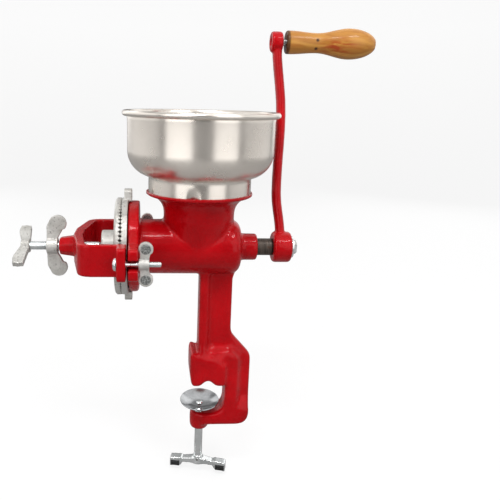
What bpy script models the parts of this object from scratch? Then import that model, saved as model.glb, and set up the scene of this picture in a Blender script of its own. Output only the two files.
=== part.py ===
# Hand grain mill with a table clamp: a cast body, two grinding discs, a crank and a loose hopper.
# Metres, +Z up. +X runs along the shaft towards the crank, and the origin lies on the flat
# foot of the upper clamp jaw, under the middle of the hopper.
import bmesh
import bpy
from math import cos, pi, radians, sin, tau
from mathutils import Matrix, Vector

# Distance within which points of one surface are welded
WELD = 0.000002

# Clearances
FIT = 0.0003
RUN = 0.0004
GRIND_GAP = 0.0006
ARM_RIM_GAP = 0.0013
DISC_ARM_GAP = 0.0045
PLATE_WALL_GAP = 0.0044
LOCK_GAP = 0.0016

# Shaft line and auger
SHAFT_RISE = 0.137
SHAFT_RADIUS = 0.0080
AUGER_CORE_STEP = 0.0010
FLIGHT_GAP = 0.0012
FLIGHT_PITCH = 0.024
FLIGHT_THICK = 0.0040
FLIGHT_TIP = 0.0024
FLIGHT_END_ROOM = 0.0010
CRANK_SEAT_STEP = 0.0010

# Barrel, flange and bearing of the body
BARREL_RADIUS = 0.0255
BARREL_WALL = 0.0045
BARREL_END_X = 0.0392
BARREL_END_WALL = 0.0080
BARREL_SHOULDER = 0.0090
FLANGE_X = -0.0645
FLANGE_THICK = 0.0100
FLANGE_RADIUS = 0.0424
BEARING_WALL = 0.0042
BEARING_LENGTH = 0.0160
EAR_HALF_HEIGHT = 0.0138
EAR_CORNER = 0.0035
EAR_ROOT = 32
EAR_STEP = 0.0015
EAR_TAPER = 0.0008
EAR_REACH = 0.0070
EAR_SLOT = 0.0082

# Neck and hopper
NECK_RADIUS = 0.0326
NECK_WALL = 0.0045
NECK_WAIST_Z = 0.0330
NECK_FOOT_RADIUS = 0.0245
NECK_SHOULDER_Z = 0.0270
FUNNEL_INSET = 0.0021
LIP_TOP_Z = 0.0530
LIP_HEIGHT = 0.0038
LIP_WALL = 0.0018
SEAT_LEDGE = 0.0040
SHEET = 0.0010
COLLAR_RADIUS = 0.0467
COLLAR_DEPTH = 0.0024
SHOULDER_Z = 0.0660
BOWL_RADIUS = 0.0658
BOWL_CORNER = 0.0230
RIM_RADIUS = 0.0704
RIM_TOP_Z = 0.1240
RIM_BEAD = 0.0026

# Grinding discs
DISC_RADIUS = 0.0450
FIXED_DISC_THICK = 0.0057
TURNING_DISC_THICK = 0.0052
DISC_FEED_STEP = 0.0020
GROOVES = 72
GROOVE_WIDTH = 0.0016
GROOVE_DEPTH = 0.0011
GROOVE_LENGTH = 0.0200
LUG_TOP = 0.0570
LUG_BOTTOM = 0.0520
LUG_WIDTH = 0.0120
LUG_THICK = 0.0070
LUG_HOOK = 0.0034
LUG_CORNER = 0.0042
DRIVE_HUB_WALL = 0.0065
DRIVE_HUB_LENGTH = 0.0130
DRIVE_PIN_RADIUS = 0.0025
DRIVE_SLOT_DEPTH = 0.0080
DRIVE_TURN = radians(30)
BALL_RADIUS = 0.0030
BALL_PROUD = 0.0008

# Share of a head's radius that stays flat on top
HEAD_CROWN = 0.6

# Where a wing's neck ends, in lobe radii below its tip, and how far the lobe curls in, in degrees
LOBE_NECK = 1.8
LOBE_CURL = 35

# Bridge and its bolts
BRIDGE_ARM_THICK = 0.0060
BRIDGE_TOP = 0.0142
BRIDGE_BOTTOM = 0.0137
BRIDGE_PAD = 0.0078
BRIDGE_PAD_HALF_HEIGHT = 0.0146
BRIDGE_CORNER = 0.0115
BRIDGE_CORNER_X = -0.1055
BRIDGE_NOSE = 0.0085
BRIDGE_WEB = 0.0085
BRIDGE_BOSS_LENGTH = 0.0140
BRIDGE_BOSS_WALL = 0.0040
BRIDGE_BOSS_FLARE = 0.0021
BOLT_RADIUS = 0.0025
BOLT_HEAD_RADIUS = 0.0058
BOLT_HEAD_THICK = 0.0036
BOLT_TAIL = 0.0190
NUT_HUB_RADIUS = 0.0052
NUT_HUB_LENGTH = 0.0090
NUT_HUB_TAPER = 0.0010
NUT_NECK_HALF = 0.0032
NUT_LOBE_RADIUS = 0.0062
NUT_REACH = 0.0193
NUT_LEAN = 0.0015
NUT_WING_THICK = 0.0036

# Adjusting screw with its wing and lock nut
ADJUST_RADIUS = 0.0040
ADJUST_SHANK = 0.0155
LOCK_HUB_WALL = 0.0030
LOCK_HUB_LENGTH = 0.0100
LOCK_NECK_HALF = 0.0044
LOCK_LOBE_RADIUS = 0.0080
LOCK_REACH = 0.0287
LOCK_LEAN = 0.0052
LOCK_WING_THICK = 0.0046
WING_HUB_WALL = 0.0022
WING_HUB_LENGTH = 0.0075
WING_CAP = 0.0015
WING_PIN_X = 0.0045
WING_NECK_HALF = 0.0036
WING_LOBE_RADIUS = 0.0070
WING_REACH = 0.0265
WING_LEAN = -0.0034
WING_THICK = 0.0050
WING_TURN = radians(63)
PIN_RADIUS = 0.0013

# Crank and grip
CRANK_TILT = radians(10.5)
CRANK_THROW = 0.1899
CRANK_HUB_WALL = 0.0072
CRANK_HUB_LENGTH = 0.0175
CRANK_HUB_SHIFT = 0.0024
ARM_THICK = 0.0090
ARM_WIDTH = 0.0125
ARM_SWAY = 0.0030
ARM_BEND_Z = 0.0510
GRIP_BOSS_RADIUS = 0.0094
GRIP_BOSS_LENGTH = 0.0108
GRIP_BOSS_SHIFT = -0.0055
GRIP_GAP = 0.0033
GRIP_LENGTH = 0.0833
GRIP_BEAD_LENGTH = 0.0052
GRIP_NECK_LENGTH = 0.0290
GRIP_NOSE_LENGTH = 0.0236
GRIP_FACE_INSET = 0.0011
GRIP_END_RADIUS = 0.0104
GRIP_NECK_RADIUS = 0.0089
GRIP_BULB_RADIUS = 0.0138
HANDLE_PIN_RADIUS = 0.0032
HANDLE_PIN_HEAD = 0.0050
HANDLE_PIN_HEAD_THICK = 0.0025
HANDLE_PIN_SINK = 0.0020
CRANK_WASHER_RADIUS = 0.0102
CRANK_WASHER_THICK = 0.0018
CRANK_BOLT_RADIUS = 0.0030
CRANK_BOLT_HEAD = 0.0068
CRANK_BOLT_HEAD_THICK = 0.0030
CRANK_BOLT_LENGTH = 0.0240

# Leg and clamp
LEG_LEFT_X = 0.0018
LEG_RIB_THICK = 0.0085
LEG_RIB_WIDTH = 0.0240
LEG_RIGHT_X = 0.0340
GUSSET_TOP_Z = -0.0150
GUSSET_END_Z = -0.0290
LEG_WEB_THICK = 0.0100
CLAMP_X = 0.0055
CLAMP_BACK = 0.0256
CLAMP_RIM = 0.0126
CLAMP_RIM_WIDTH = 0.0250
CLAMP_INNER_FILLET = 0.0130
CLAMP_OUTER_FILLET = 0.0110
CLAMP_RIM_FILLET = 0.0060
CLAMP_RIM_RISE = 0.0345
CLAMP_BAND = 0.0060
KNEE_RISE = 0.0512
BACK_RISE = 0.0281
KNEE_FILLET = 0.0100
JAW_WIDTH = 0.0340
JAW_HEIGHT = 0.0275
JAW_LEFT_X = -0.0060
HORN_TOP = 0.0352
HORN_EDGE = 0.0020
JAW_FILLET = 0.0030
JAW_EDGE = 0.0010
FOOT_LEFT = 0.0040
FOOT_RIGHT = 0.0046
ARCH_WIDTH = 0.0150
ARCH_HEIGHT = 0.0055
JAW_OPENING = 0.0325
LOWER_JAW_THICK = 0.0120
SCREW_BOSS_WALL = 0.0056
SCREW_BOSS_DROP = 0.0075
SCREW_BOSS_DOME = 37
CLAMP_SCREW_RADIUS = 0.0040
CLAMP_SCREW_BELOW = 0.0315
PLATE_RADIUS = 0.0190
PLATE_DISH = 0.0042
PLATE_THICK = 0.0015
PLATE_DROP = 0.0222
CLAMP_NECK_RADIUS = 0.0024
CLAMP_PEEN_RADIUS = 0.0036
CLAMP_PEEN_THICK = 0.0014
TEE_HUB_WALL = 0.0022
TEE_HUB_LENGTH = 0.0120
TEE_HUB_TAPER = 0.0005
TEE_CAP = 0.0024
TEE_PIN_DROP = 0.0036
TEE_BAR_DROP = 0.0074
TEE_NECK_HALF = 0.0036
TEE_LOBE_RADIUS = 0.0058
TEE_REACH = 0.0285
TEE_LEAN = -0.0018
TEE_THICK = 0.0070
TEE_TURN = radians(-13)

# Places worked out from the sizes above
bore_radius = BARREL_RADIUS - BARREL_WALL
bearing_radius = SHAFT_RADIUS + RUN + BEARING_WALL
bearing_end_x = BARREL_END_X + BEARING_LENGTH
core_radius = SHAFT_RADIUS + AUGER_CORE_STEP
seat_radius = SHAFT_RADIUS - CRANK_SEAT_STEP
fixed_disc_x = FLANGE_X - FIT - FIXED_DISC_THICK
turning_disc_x = fixed_disc_x - GRIND_GAP - TURNING_DISC_THICK
drive_hub_radius = SHAFT_RADIUS + FIT + DRIVE_HUB_WALL
shaft_end_x = turning_disc_x - DRIVE_HUB_LENGTH
drive_pin_x = shaft_end_x + DRIVE_SLOT_DEPTH - FIT - DRIVE_PIN_RADIUS
ball_x = shaft_end_x - BALL_PROUD
adjust_tip_x = ball_x - BALL_PROUD
arm_inner_y = DISC_RADIUS + DISC_ARM_GAP
arm_outer_y = arm_inner_y + BRIDGE_ARM_THICK
bolt_y = arm_outer_y + BOLT_HEAD_RADIUS + FIT * 2
ear_end_y = bolt_y + EAR_REACH
pad_face_x = FLANGE_X - FIT
pad_back_x = pad_face_x - BRIDGE_PAD
bridge_nose_x = BRIDGE_CORNER_X - BRIDGE_NOSE
bridge_boss_end_x = bridge_nose_x - BRIDGE_BOSS_LENGTH
boss_small_radius = ADJUST_RADIUS + FIT + BRIDGE_BOSS_WALL
boss_large_radius = boss_small_radius + BRIDGE_BOSS_FLARE
nut_x = FLANGE_X + FLANGE_THICK + FIT
bolt_end_x = nut_x + BOLT_TAIL
lock_x = bridge_boss_end_x - LOCK_GAP - LOCK_HUB_LENGTH
wing_x = lock_x - ADJUST_SHANK - WING_HUB_LENGTH
lock_hub_radius = ADJUST_RADIUS + FIT + LOCK_HUB_WALL
wing_hub_radius = ADJUST_RADIUS + FIT + WING_HUB_WALL
arm_x = RIM_RADIUS + ARM_RIM_GAP + ARM_THICK / 2
crank_hub_x = arm_x + CRANK_HUB_SHIFT - CRANK_HUB_LENGTH / 2
crank_hub_end_x = crank_hub_x + CRANK_HUB_LENGTH
crank_hub_radius = seat_radius + FIT + CRANK_HUB_WALL
grip_boss_x = arm_x + GRIP_BOSS_SHIFT - GRIP_BOSS_LENGTH / 2
grip_boss_end_x = grip_boss_x + GRIP_BOSS_LENGTH
grip_x = grip_boss_end_x + GRIP_GAP
seat_z = LIP_TOP_Z - COLLAR_DEPTH
lip_radius = COLLAR_RADIUS + FIT + LIP_WALL
jaw_z = -SHAFT_RISE
lower_jaw_z = jaw_z - JAW_OPENING
lower_base_z = lower_jaw_z - LOWER_JAW_THICK
clamp_wall_x = CLAMP_X + PLATE_RADIUS + PLATE_WALL_GAP
clamp_back_x = clamp_wall_x + CLAMP_BACK
screw_boss_radius = CLAMP_SCREW_RADIUS + FIT + SCREW_BOSS_WALL
screw_boss_z = lower_base_z - SCREW_BOSS_DROP
plate_z = jaw_z - PLATE_DROP - PLATE_DISH
tee_z = screw_boss_z - CLAMP_SCREW_BELOW
tee_hub_radius = CLAMP_SCREW_RADIUS + FIT + TEE_HUB_WALL

# Colours are linear, as the shader takes them
RED_PAINT = ((0.42, 0.006, 0.010), 0.28, 0.0)
CAST_GREY = ((0.62, 0.60, 0.57), 0.55, 0.7)
BARE_IRON = ((0.060, 0.045, 0.038), 0.50, 0.8)
ZINC = ((0.50, 0.53, 0.53), 0.30, 1.0)
ALUMINIUM = ((0.60, 0.57, 0.51), 0.34, 1.0)
STEEL = ((0.55, 0.55, 0.54), 0.25, 1.0)
PINE = ((0.55, 0.30, 0.085), 0.38, 0.0)


def clear_scene():
    for item in list(bpy.data.objects):
        bpy.data.objects.remove(item, do_unlink=True)


def make_collection(name):
    group = bpy.data.collections.new(name)
    bpy.context.scene.collection.children.link(group)
    return group


clear_scene()
mill = make_collection("grain_mill")


def make_material(name, finish):
    colour, roughness, metallic = finish
    material = bpy.data.materials.new(name)
    material.use_nodes = True
    shader = material.node_tree.nodes["Principled BSDF"]
    shader.inputs["Base Color"].default_value = (*colour, 1.0)
    shader.inputs["Roughness"].default_value = roughness
    shader.inputs["Metallic"].default_value = metallic
    material.diffuse_color = (*colour, 1.0)
    return material


def add_object(data):
    item = bpy.data.objects.new("blank", data)
    mill.objects.link(item)
    return item


def bake(item, matrix=Matrix.Identity(4), weld=WELD, flat_faces=False):
    # Turns modifiers or a curve into a plain welded mesh with its faces outward
    bpy.context.view_layer.update()
    ready = item.evaluated_get(bpy.context.evaluated_depsgraph_get())
    mesh = bpy.data.meshes.new_from_object(ready)
    shape = bmesh.new()
    shape.from_mesh(mesh)
    bmesh.ops.transform(shape, matrix=matrix, verts=shape.verts)
    bmesh.ops.remove_doubles(shape, verts=shape.verts, dist=weld)
    if flat_faces:
        bmesh.ops.dissolve_limit(shape, angle_limit=radians(0.1), verts=shape.verts, edges=shape.edges)
    bmesh.ops.recalc_face_normals(shape, faces=shape.faces)
    shape.to_mesh(mesh)
    shape.free()
    bpy.data.objects.remove(item, do_unlink=True)
    return add_object(mesh)


ALONG_X = Matrix.Rotation(pi / 2, 4, "Y")
OUTLINE_XY = Matrix.Identity(4)
OUTLINE_XZ = Matrix.Rotation(pi / 2, 4, "X")
OUTLINE_YZ = Matrix(((0, 0, 1, 0), (1, 0, 0, 0), (0, 1, 0, 0), (0, 0, 0, 1)))


def turned(profile, steps=48, turn=Matrix.Identity(4), loop=False):
    # The profile is (radius, height) pairs about Z, and turn lays the finished solid down
    mesh = bpy.data.meshes.new("profile")
    points = [(radius, 0.0, height) for radius, height in profile]
    count = len(points)
    edges = [(i, (i + 1) % count) for i in range(count if loop else count - 1)]
    mesh.from_pydata(points, edges, [])
    item = add_object(mesh)
    screw = item.modifiers.new("turn", "SCREW")
    screw.axis = "Z"
    screw.steps = steps
    screw.render_steps = steps
    screw.use_merge_vertices = True
    screw.merge_threshold = 0.00001
    return bake(item, turn)


def turned_x(profile, steps=48):
    # The profile is (x, radius) pairs about the X axis
    return turned([(radius, x) for x, radius in profile], steps, ALONG_X)


def rod_x(start, end, radius, steps=24):
    return turned_x([(start, 0.0), (start, radius), (end, radius), (end, 0.0)], steps)


def rod_z(low, high, radius, steps=24):
    return turned([(0.0, low), (radius, low), (radius, high), (0.0, high)], steps)


def ring_x(start, end, inner, outer, steps=48):
    profile = [(inner, start), (outer, start), (outer, end), (inner, end)]
    return turned(profile, steps, ALONG_X, loop=True)


def ball(centre, radius):
    mesh = bpy.data.meshes.new("ball")
    shape = bmesh.new()
    bmesh.ops.create_uvsphere(shape, u_segments=14, v_segments=8, radius=radius)
    shape.to_mesh(mesh)
    shape.free()
    return bake(add_object(mesh), Matrix.Translation(centre))


def block(low, high):
    size = Vector(high) - Vector(low)
    middle = (Vector(high) + Vector(low)) / 2
    mesh = bpy.data.meshes.new("block")
    shape = bmesh.new()
    bmesh.ops.create_cube(shape, size=1.0)
    shape.to_mesh(mesh)
    shape.free()
    return bake(add_object(mesh), Matrix.Translation(middle) @ Matrix.Diagonal((*size, 1.0)))


def arc(centre, radius, start, end, steps=8):
    # Points on a round stretch, angles in degrees
    angles = [radians(start + (end - start) * i / steps) for i in range(steps + 1)]
    return [(centre[0] + radius * cos(a), centre[1] + radius * sin(a)) for a in angles]


def rounded(corners, steps=4):
    # Corners are (u, v, radius); each one becomes a short arc, or stays sharp with radius 0
    points = []
    for index, (u, v, radius) in enumerate(corners):
        here = Vector((u, v))
        if radius == 0:
            points.append((u, v))
            continue
        before = (Vector(corners[index - 1][:2]) - here).normalized()
        after = (Vector(corners[(index + 1) % len(corners)][:2]) - here).normalized()
        half = before.angle(after) / 2
        reach = radius * cos(half) / sin(half)
        centre = here + (before + after).normalized() * (radius / sin(half))
        first = here + before * reach - centre
        last = here + after * reach - centre
        sweep = first.angle_signed(last)
        for i in range(steps + 1):
            spoke = Matrix.Rotation(-sweep * i / steps, 2) @ first
            points.append(tuple(centre + spoke))
    return points


def prism(outline, low, high, turn):
    # A filled flat outline, thickened from low to high along the third axis of its plane
    curve = bpy.data.curves.new("outline", "CURVE")
    curve.dimensions = "2D"
    curve.fill_mode = "BOTH"
    curve.extrude = (high - low) / 2
    spline = curve.splines.new("POLY")
    spline.points.add(len(outline) - 1)
    for point, (u, v) in zip(spline.points, outline):
        point.co = (u, v, 0.0, 1.0)
    spline.use_cyclic_u = True
    lift = Matrix.Translation((0.0, 0.0, (low + high) / 2))
    return bake(add_object(curve), turn @ lift, flat_faces=True)


def combine(base, tools, operation):
    for tool in tools:
        change = base.modifiers.new(operation.lower(), "BOOLEAN")
        change.operation = operation
        change.solver = "EXACT"
        change.object = tool
        base = bake(base, weld=WELD / 20)
        bpy.data.objects.remove(tool, do_unlink=True)
    return base


def join(base, *tools):
    return combine(base, tools, "UNION")


def cut(base, *tools):
    return combine(base, tools, "DIFFERENCE")


def turn_mesh(item, matrix):
    item.data.transform(matrix)
    return item


def finish(item, name, colours, place=(0.0, 0.0, 0.0), smooth=True):
    # Places are given from the shaft axis, so the shaft's height is added here
    item.name = name
    item.data.name = name
    item.location = Vector(place) + Vector((0.0, 0.0, SHAFT_RISE))
    item.data.materials.clear()
    item.data.materials.append(make_material(name, colours))
    for face in item.data.polygons:
        face.use_smooth = smooth
    if smooth:
        item.data.set_sharp_from_angle(angle=radians(35))
    return item


def build_body():
    shoulder_centre = (BARREL_END_X - BARREL_SHOULDER, BARREL_RADIUS - BARREL_SHOULDER)
    shoulder = arc(shoulder_centre, BARREL_SHOULDER, 90, 0)
    barrel_start = FLANGE_X + FLANGE_THICK / 2
    barrel = turned_x([
        (barrel_start, 0.0),
        (barrel_start, BARREL_RADIUS),
        *shoulder,
        (BARREL_END_X, bearing_radius),
        (bearing_end_x, bearing_radius),
        (bearing_end_x, 0.0),
    ], 40)
    flange = prism(flange_outline(), FLANGE_X + EAR_STEP, FLANGE_X + FLANGE_THICK, OUTLINE_YZ)
    face = rod_x(FLANGE_X, FLANGE_X + FLANGE_THICK / 2, FLANGE_RADIUS - FIT, 48)
    waist = [(lip_radius - (lip_radius - NECK_RADIUS) * sin(radians(angle)),
              NECK_WAIST_Z + (LIP_TOP_Z - LIP_HEIGHT - NECK_WAIST_Z) * cos(radians(angle)))
             for angle in range(90, -1, -15)]
    neck = turned([
        (0.0, 0.0),
        (NECK_FOOT_RADIUS, 0.0),
        (NECK_RADIUS, NECK_SHOULDER_Z),
        *waist,
        (lip_radius, LIP_TOP_Z),
        (0.0, LIP_TOP_Z),
    ], 40)
    body = join(barrel, flange, face, neck, *build_leg())

    bore = rod_x(FLANGE_X - FLANGE_THICK, BARREL_END_X - BARREL_END_WALL, bore_radius, 40)
    bearing_bore = rod_x(0.0, bearing_end_x + BEARING_LENGTH, SHAFT_RADIUS + RUN)
    collar_hole = COLLAR_RADIUS + FIT
    throat = turned([
        (0.0, 0.0),
        (bore_radius - FUNNEL_INSET, 0.0),
        (NECK_RADIUS - NECK_WALL, NECK_SHOULDER_Z),
        *[(radius - NECK_WALL, height) for radius, height in waist[:-1]],
        (collar_hole - SEAT_LEDGE, seat_z - FIT),
        (collar_hole, seat_z - FIT),
        (collar_hole, LIP_TOP_Z + LIP_HEIGHT),
        (0.0, LIP_TOP_Z + LIP_HEIGHT),
    ], 40)
    bore_low = screw_boss_z - SCREW_BOSS_DROP
    screw_bore = rod_z(bore_low, lower_jaw_z + LOWER_JAW_THICK, CLAMP_SCREW_RADIUS + FIT)
    turn_mesh(screw_bore, Matrix.Translation((CLAMP_X, 0.0, 0.0)))
    slots = []
    for side in (-1, 1):
        inner = side * (bolt_y - EAR_SLOT / 2)
        outer = side * (ear_end_y + EAR_REACH)
        slots.append(block((FLANGE_X - FLANGE_THICK, min(inner, outer), -EAR_SLOT / 2),
                           (FLANGE_X + FLANGE_THICK * 2, max(inner, outer), EAR_SLOT / 2)))
    body = cut(body, bore, bearing_bore, throat, screw_bore, *slots)
    return finish(body, "mill_body", RED_PAINT)


def flange_outline():
    # A round flange whose two ears run out level, each with a short fillet at its root
    bend = FLANGE_RADIUS + EAR_HALF_HEIGHT / 2
    bend_height = EAR_HALF_HEIGHT + EAR_TAPER
    right = rounded([
        (bend, -bend_height, 0),
        (ear_end_y, -EAR_HALF_HEIGHT, EAR_CORNER),
        (ear_end_y, EAR_HALF_HEIGHT, EAR_CORNER),
        (bend, bend_height, 0),
    ])
    left = [(-u, -v) for u, v in right]
    top = arc((0.0, 0.0), FLANGE_RADIUS, EAR_ROOT, 180 - EAR_ROOT, 24)
    bottom = [(u, -v) for u, v in reversed(top)]
    return right + top + left + bottom


def build_leg():
    # Web, front rib, clamp rim, wide upper jaw and the boss of the clamp screw
    # The leg starts inside the bore, which is cut afterwards
    leg_top = -bore_radius / 2
    knee_z = jaw_z + KNEE_RISE
    back_z = jaw_z + BACK_RISE
    core_z = jaw_z + ARCH_HEIGHT * 2
    web_start = LEG_LEFT_X + LEG_RIB_THICK / 2
    web_wall_x = clamp_wall_x + FIT
    web = prism(rounded([
        (web_start, leg_top, 0),
        (BARREL_END_X - FIT, leg_top, 0),
        (BARREL_END_X - FIT, GUSSET_TOP_Z, 0),
        (LEG_RIGHT_X, GUSSET_END_Z, 0),
        (LEG_RIGHT_X, knee_z, KNEE_FILLET),
        (clamp_back_x, back_z, KNEE_FILLET),
        (clamp_back_x, lower_base_z, CLAMP_OUTER_FILLET),
        (CLAMP_X, lower_base_z, 0),
        (CLAMP_X, lower_jaw_z - FIT, 0),
        (web_wall_x, lower_jaw_z - FIT, CLAMP_INNER_FILLET - FIT),
        (web_wall_x, core_z, 0),
        (web_start, core_z, 0),
    ]), -LEG_WEB_THICK / 2, LEG_WEB_THICK / 2, OUTLINE_XZ)
    rib_end = LEG_LEFT_X + LEG_RIB_THICK
    rib = prism([
        (LEG_LEFT_X, leg_top),
        (rib_end, leg_top),
        (rib_end, core_z + FIT),
        (LEG_LEFT_X, core_z + FIT),
    ], -LEG_RIB_WIDTH / 2, LEG_RIB_WIDTH / 2, OUTLINE_XZ)
    jaw_top = jaw_z + JAW_HEIGHT
    rim_top = jaw_z + CLAMP_RIM_RISE
    rim_start = web_start + FIT
    rim_back = clamp_wall_x + CLAMP_RIM
    rim_base = lower_base_z + FIT
    band_x = clamp_back_x - FIT
    band_z = lower_jaw_z + CLAMP_BAND
    rim = prism(rounded([
        (rim_start, rim_top, 0),
        (rim_back, rim_top, CLAMP_OUTER_FILLET),
        (rim_back, band_z, CLAMP_RIM_FILLET),
        (band_x, band_z, JAW_EDGE),
        (band_x, rim_base, CLAMP_OUTER_FILLET - FIT),
        (CLAMP_X + FIT, rim_base, 0),
        (CLAMP_X + FIT, lower_jaw_z, 0),
        (clamp_wall_x, lower_jaw_z, CLAMP_INNER_FILLET),
        (clamp_wall_x, core_z - FIT, 0),
        (rim_start, core_z - FIT, 0),
    ]), -CLAMP_RIM_WIDTH / 2, CLAMP_RIM_WIDTH / 2, OUTLINE_XZ)
    arch_end = FOOT_RIGHT + ARCH_WIDTH
    jaw_end = clamp_wall_x + FIT * 2
    jaw = prism(rounded([
        (JAW_LEFT_X, jaw_z + HORN_TOP, HORN_EDGE),
        (JAW_LEFT_X + FOOT_LEFT, jaw_z + HORN_TOP, HORN_EDGE),
        (LEG_LEFT_X + FOOT_LEFT / 4, jaw_top + FOOT_LEFT, JAW_FILLET),
        (arch_end, jaw_top, JAW_FILLET),
        (jaw_end, jaw_top - ARCH_HEIGHT, JAW_FILLET),
        (jaw_end, jaw_z, JAW_EDGE),
        (arch_end, jaw_z, JAW_EDGE),
        (arch_end - ARCH_HEIGHT, jaw_z + ARCH_HEIGHT, JAW_FILLET),
        (FOOT_RIGHT + ARCH_HEIGHT, jaw_z + ARCH_HEIGHT, JAW_FILLET),
        (FOOT_RIGHT, jaw_z, JAW_EDGE),
        (-FOOT_LEFT, jaw_z, JAW_EDGE),
        (JAW_LEFT_X, jaw_top - JAW_HEIGHT / 2, JAW_FILLET),
    ]), -JAW_WIDTH / 2, JAW_WIDTH / 2, OUTLINE_XZ)
    dome_z = screw_boss_z + screw_boss_radius * sin(radians(SCREW_BOSS_DOME))
    boss = turned([
        (0.0, screw_boss_z),
        *arc((0.0, dome_z), screw_boss_radius, -SCREW_BOSS_DOME, 0),
        (screw_boss_radius, lower_jaw_z + FIT),
        (0.0, lower_jaw_z + FIT),
    ], 40)
    turn_mesh(boss, Matrix.Translation((CLAMP_X, 0.0, 0.0)))
    return web, rib, rim, jaw, boss


def groove_cutter(face_x, depth):
    # Radial grooves across the outer part of a grinding face, as one cutter
    shape = bmesh.new()
    start = DISC_RADIUS - GROOVE_LENGTH
    size = Matrix.Diagonal((depth * 2, GROOVE_WIDTH, GROOVE_LENGTH * 2, 1.0))
    reach = Matrix.Translation((face_x, 0.0, start + GROOVE_LENGTH))
    for index in range(GROOVES):
        spoke = Matrix.Rotation(tau * index / GROOVES, 4, "X")
        bmesh.ops.create_cube(shape, size=1.0, matrix=spoke @ reach @ size)
    mesh = bpy.data.meshes.new("grooves")
    shape.to_mesh(mesh)
    shape.free()
    return add_object(mesh)


def build_discs():
    fixed_end = FLANGE_X - FIT
    feed = bore_radius + DISC_FEED_STEP
    fixed = ring_x(fixed_disc_x, fixed_end, feed, DISC_RADIUS, 36)
    for reach, sign in ((LUG_TOP, 1), (LUG_BOTTOM, -1)):
        half = LUG_WIDTH / 2
        foot = FLANGE_RADIUS + FIT * 2
        corners = [(-half, sign * foot, 0), (half, sign * foot, 0),
                   (half, sign * reach, LUG_CORNER), (-half, sign * reach, LUG_CORNER)]
        if sign < 0:
            corners.reverse()
        lug_end = fixed_end + LUG_HOOK
        fixed = join(fixed, prism(rounded(corners), lug_end - LUG_THICK, lug_end, OUTLINE_YZ))
    fixed = cut(fixed, groove_cutter(fixed_disc_x, GROOVE_DEPTH))
    finish(fixed, "stationary_disc", CAST_GREY)

    turning_end = turning_disc_x + TURNING_DISC_THICK
    shaft_hole = SHAFT_RADIUS + FIT
    edge = TURNING_DISC_THICK / 3
    turning = turned([
        (shaft_hole, shaft_end_x),
        (drive_hub_radius - edge / 2, shaft_end_x),
        (drive_hub_radius, shaft_end_x + edge / 2),
        (drive_hub_radius, turning_disc_x),
        (DISC_RADIUS - edge, turning_disc_x),
        (DISC_RADIUS, turning_disc_x + edge),
        (DISC_RADIUS, turning_end),
        (shaft_hole, turning_end),
    ], 36, ALONG_X, loop=True)
    slot_half = DRIVE_PIN_RADIUS + FIT
    slot = block((shaft_end_x - DRIVE_SLOT_DEPTH, -drive_hub_radius * 2, -slot_half),
                 (shaft_end_x + DRIVE_SLOT_DEPTH, drive_hub_radius * 2, slot_half))
    turn_mesh(slot, Matrix.Rotation(DRIVE_TURN, 4, "X"))
    turning = cut(turning, slot, groove_cutter(turning_end, GROOVE_DEPTH))
    finish(turning, "rotating_disc", CAST_GREY)


def build_shaft():
    core_start = FLANGE_X + FLANGE_THICK / 4
    core_end = BARREL_END_X - BARREL_END_WALL - FIT
    shaft = turned_x([
        (shaft_end_x, 0.0),
        (shaft_end_x, SHAFT_RADIUS),
        (core_start, SHAFT_RADIUS),
        (core_start, core_radius),
        (core_end, core_radius),
        (core_end, SHAFT_RADIUS),
        (crank_hub_x - FIT, SHAFT_RADIUS),
        (crank_hub_x - FIT, seat_radius),
        (crank_hub_end_x - FIT, seat_radius),
        (crank_hub_end_x - FIT, 0.0),
    ], 24)
    shaft = join(shaft, build_flight(core_start, core_end))
    across = Matrix.Rotation(DRIVE_TURN + pi / 2, 4, "X")
    pin_hole = rod_z(-drive_hub_radius, drive_hub_radius, DRIVE_PIN_RADIUS + FIT, 20)
    turn_mesh(pin_hole, Matrix.Translation((drive_pin_x, 0.0, 0.0)) @ across)
    bolt_hole = rod_x(crank_hub_end_x - CRANK_BOLT_LENGTH - FIT, crank_hub_end_x + CRANK_BOLT_LENGTH,
                      CRANK_BOLT_RADIUS + FIT, 20)
    shaft = cut(shaft, pin_hole, bolt_hole, ball((ball_x, 0.0, 0.0), BALL_RADIUS + FIT))
    finish(shaft, "auger_shaft", BARE_IRON)

    pin_half = drive_hub_radius - FIT
    pin = turn_mesh(rod_z(-pin_half, pin_half, DRIVE_PIN_RADIUS, 20), across)
    finish(pin, "drive_pin", STEEL, (drive_pin_x, 0.0, 0.0))
    finish(ball((0.0, 0.0, 0.0), BALL_RADIUS), "thrust_ball", STEEL, (ball_x, 0.0, 0.0))


def build_flight(core_start, core_end):
    # A flat-sided ribbon wound round the core, its ends closed
    half = FLIGHT_THICK / 2
    tip = FLIGHT_TIP / 2
    outer = bore_radius - FLIGHT_GAP
    end_room = half + FLIGHT_END_ROOM
    mesh = bpy.data.meshes.new("flight")
    corners = [(SHAFT_RADIUS, 0.0, -half), (outer, 0.0, -tip), (outer, 0.0, tip), (SHAFT_RADIUS, 0.0, half)]
    mesh.from_pydata(corners, [(0, 1), (1, 2), (2, 3), (3, 0)], [])
    ribbon = add_object(mesh)
    length = core_end - core_start - end_room * 2
    turns = length / FLIGHT_PITCH
    screw = ribbon.modifiers.new("wind", "SCREW")
    screw.axis = "Z"
    screw.angle = tau * turns
    screw.screw_offset = length
    screw.steps = round(turns * 16)
    screw.render_steps = screw.steps
    ribbon = bake(ribbon, Matrix.Translation((core_start + end_room, 0.0, 0.0)) @ ALONG_X)
    shape = bmesh.new()
    shape.from_mesh(ribbon.data)
    bmesh.ops.holes_fill(shape, edges=shape.edges, sides=4)
    bmesh.ops.recalc_face_normals(shape, faces=shape.faces)
    shape.to_mesh(ribbon.data)
    shape.free()
    return ribbon


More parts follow.
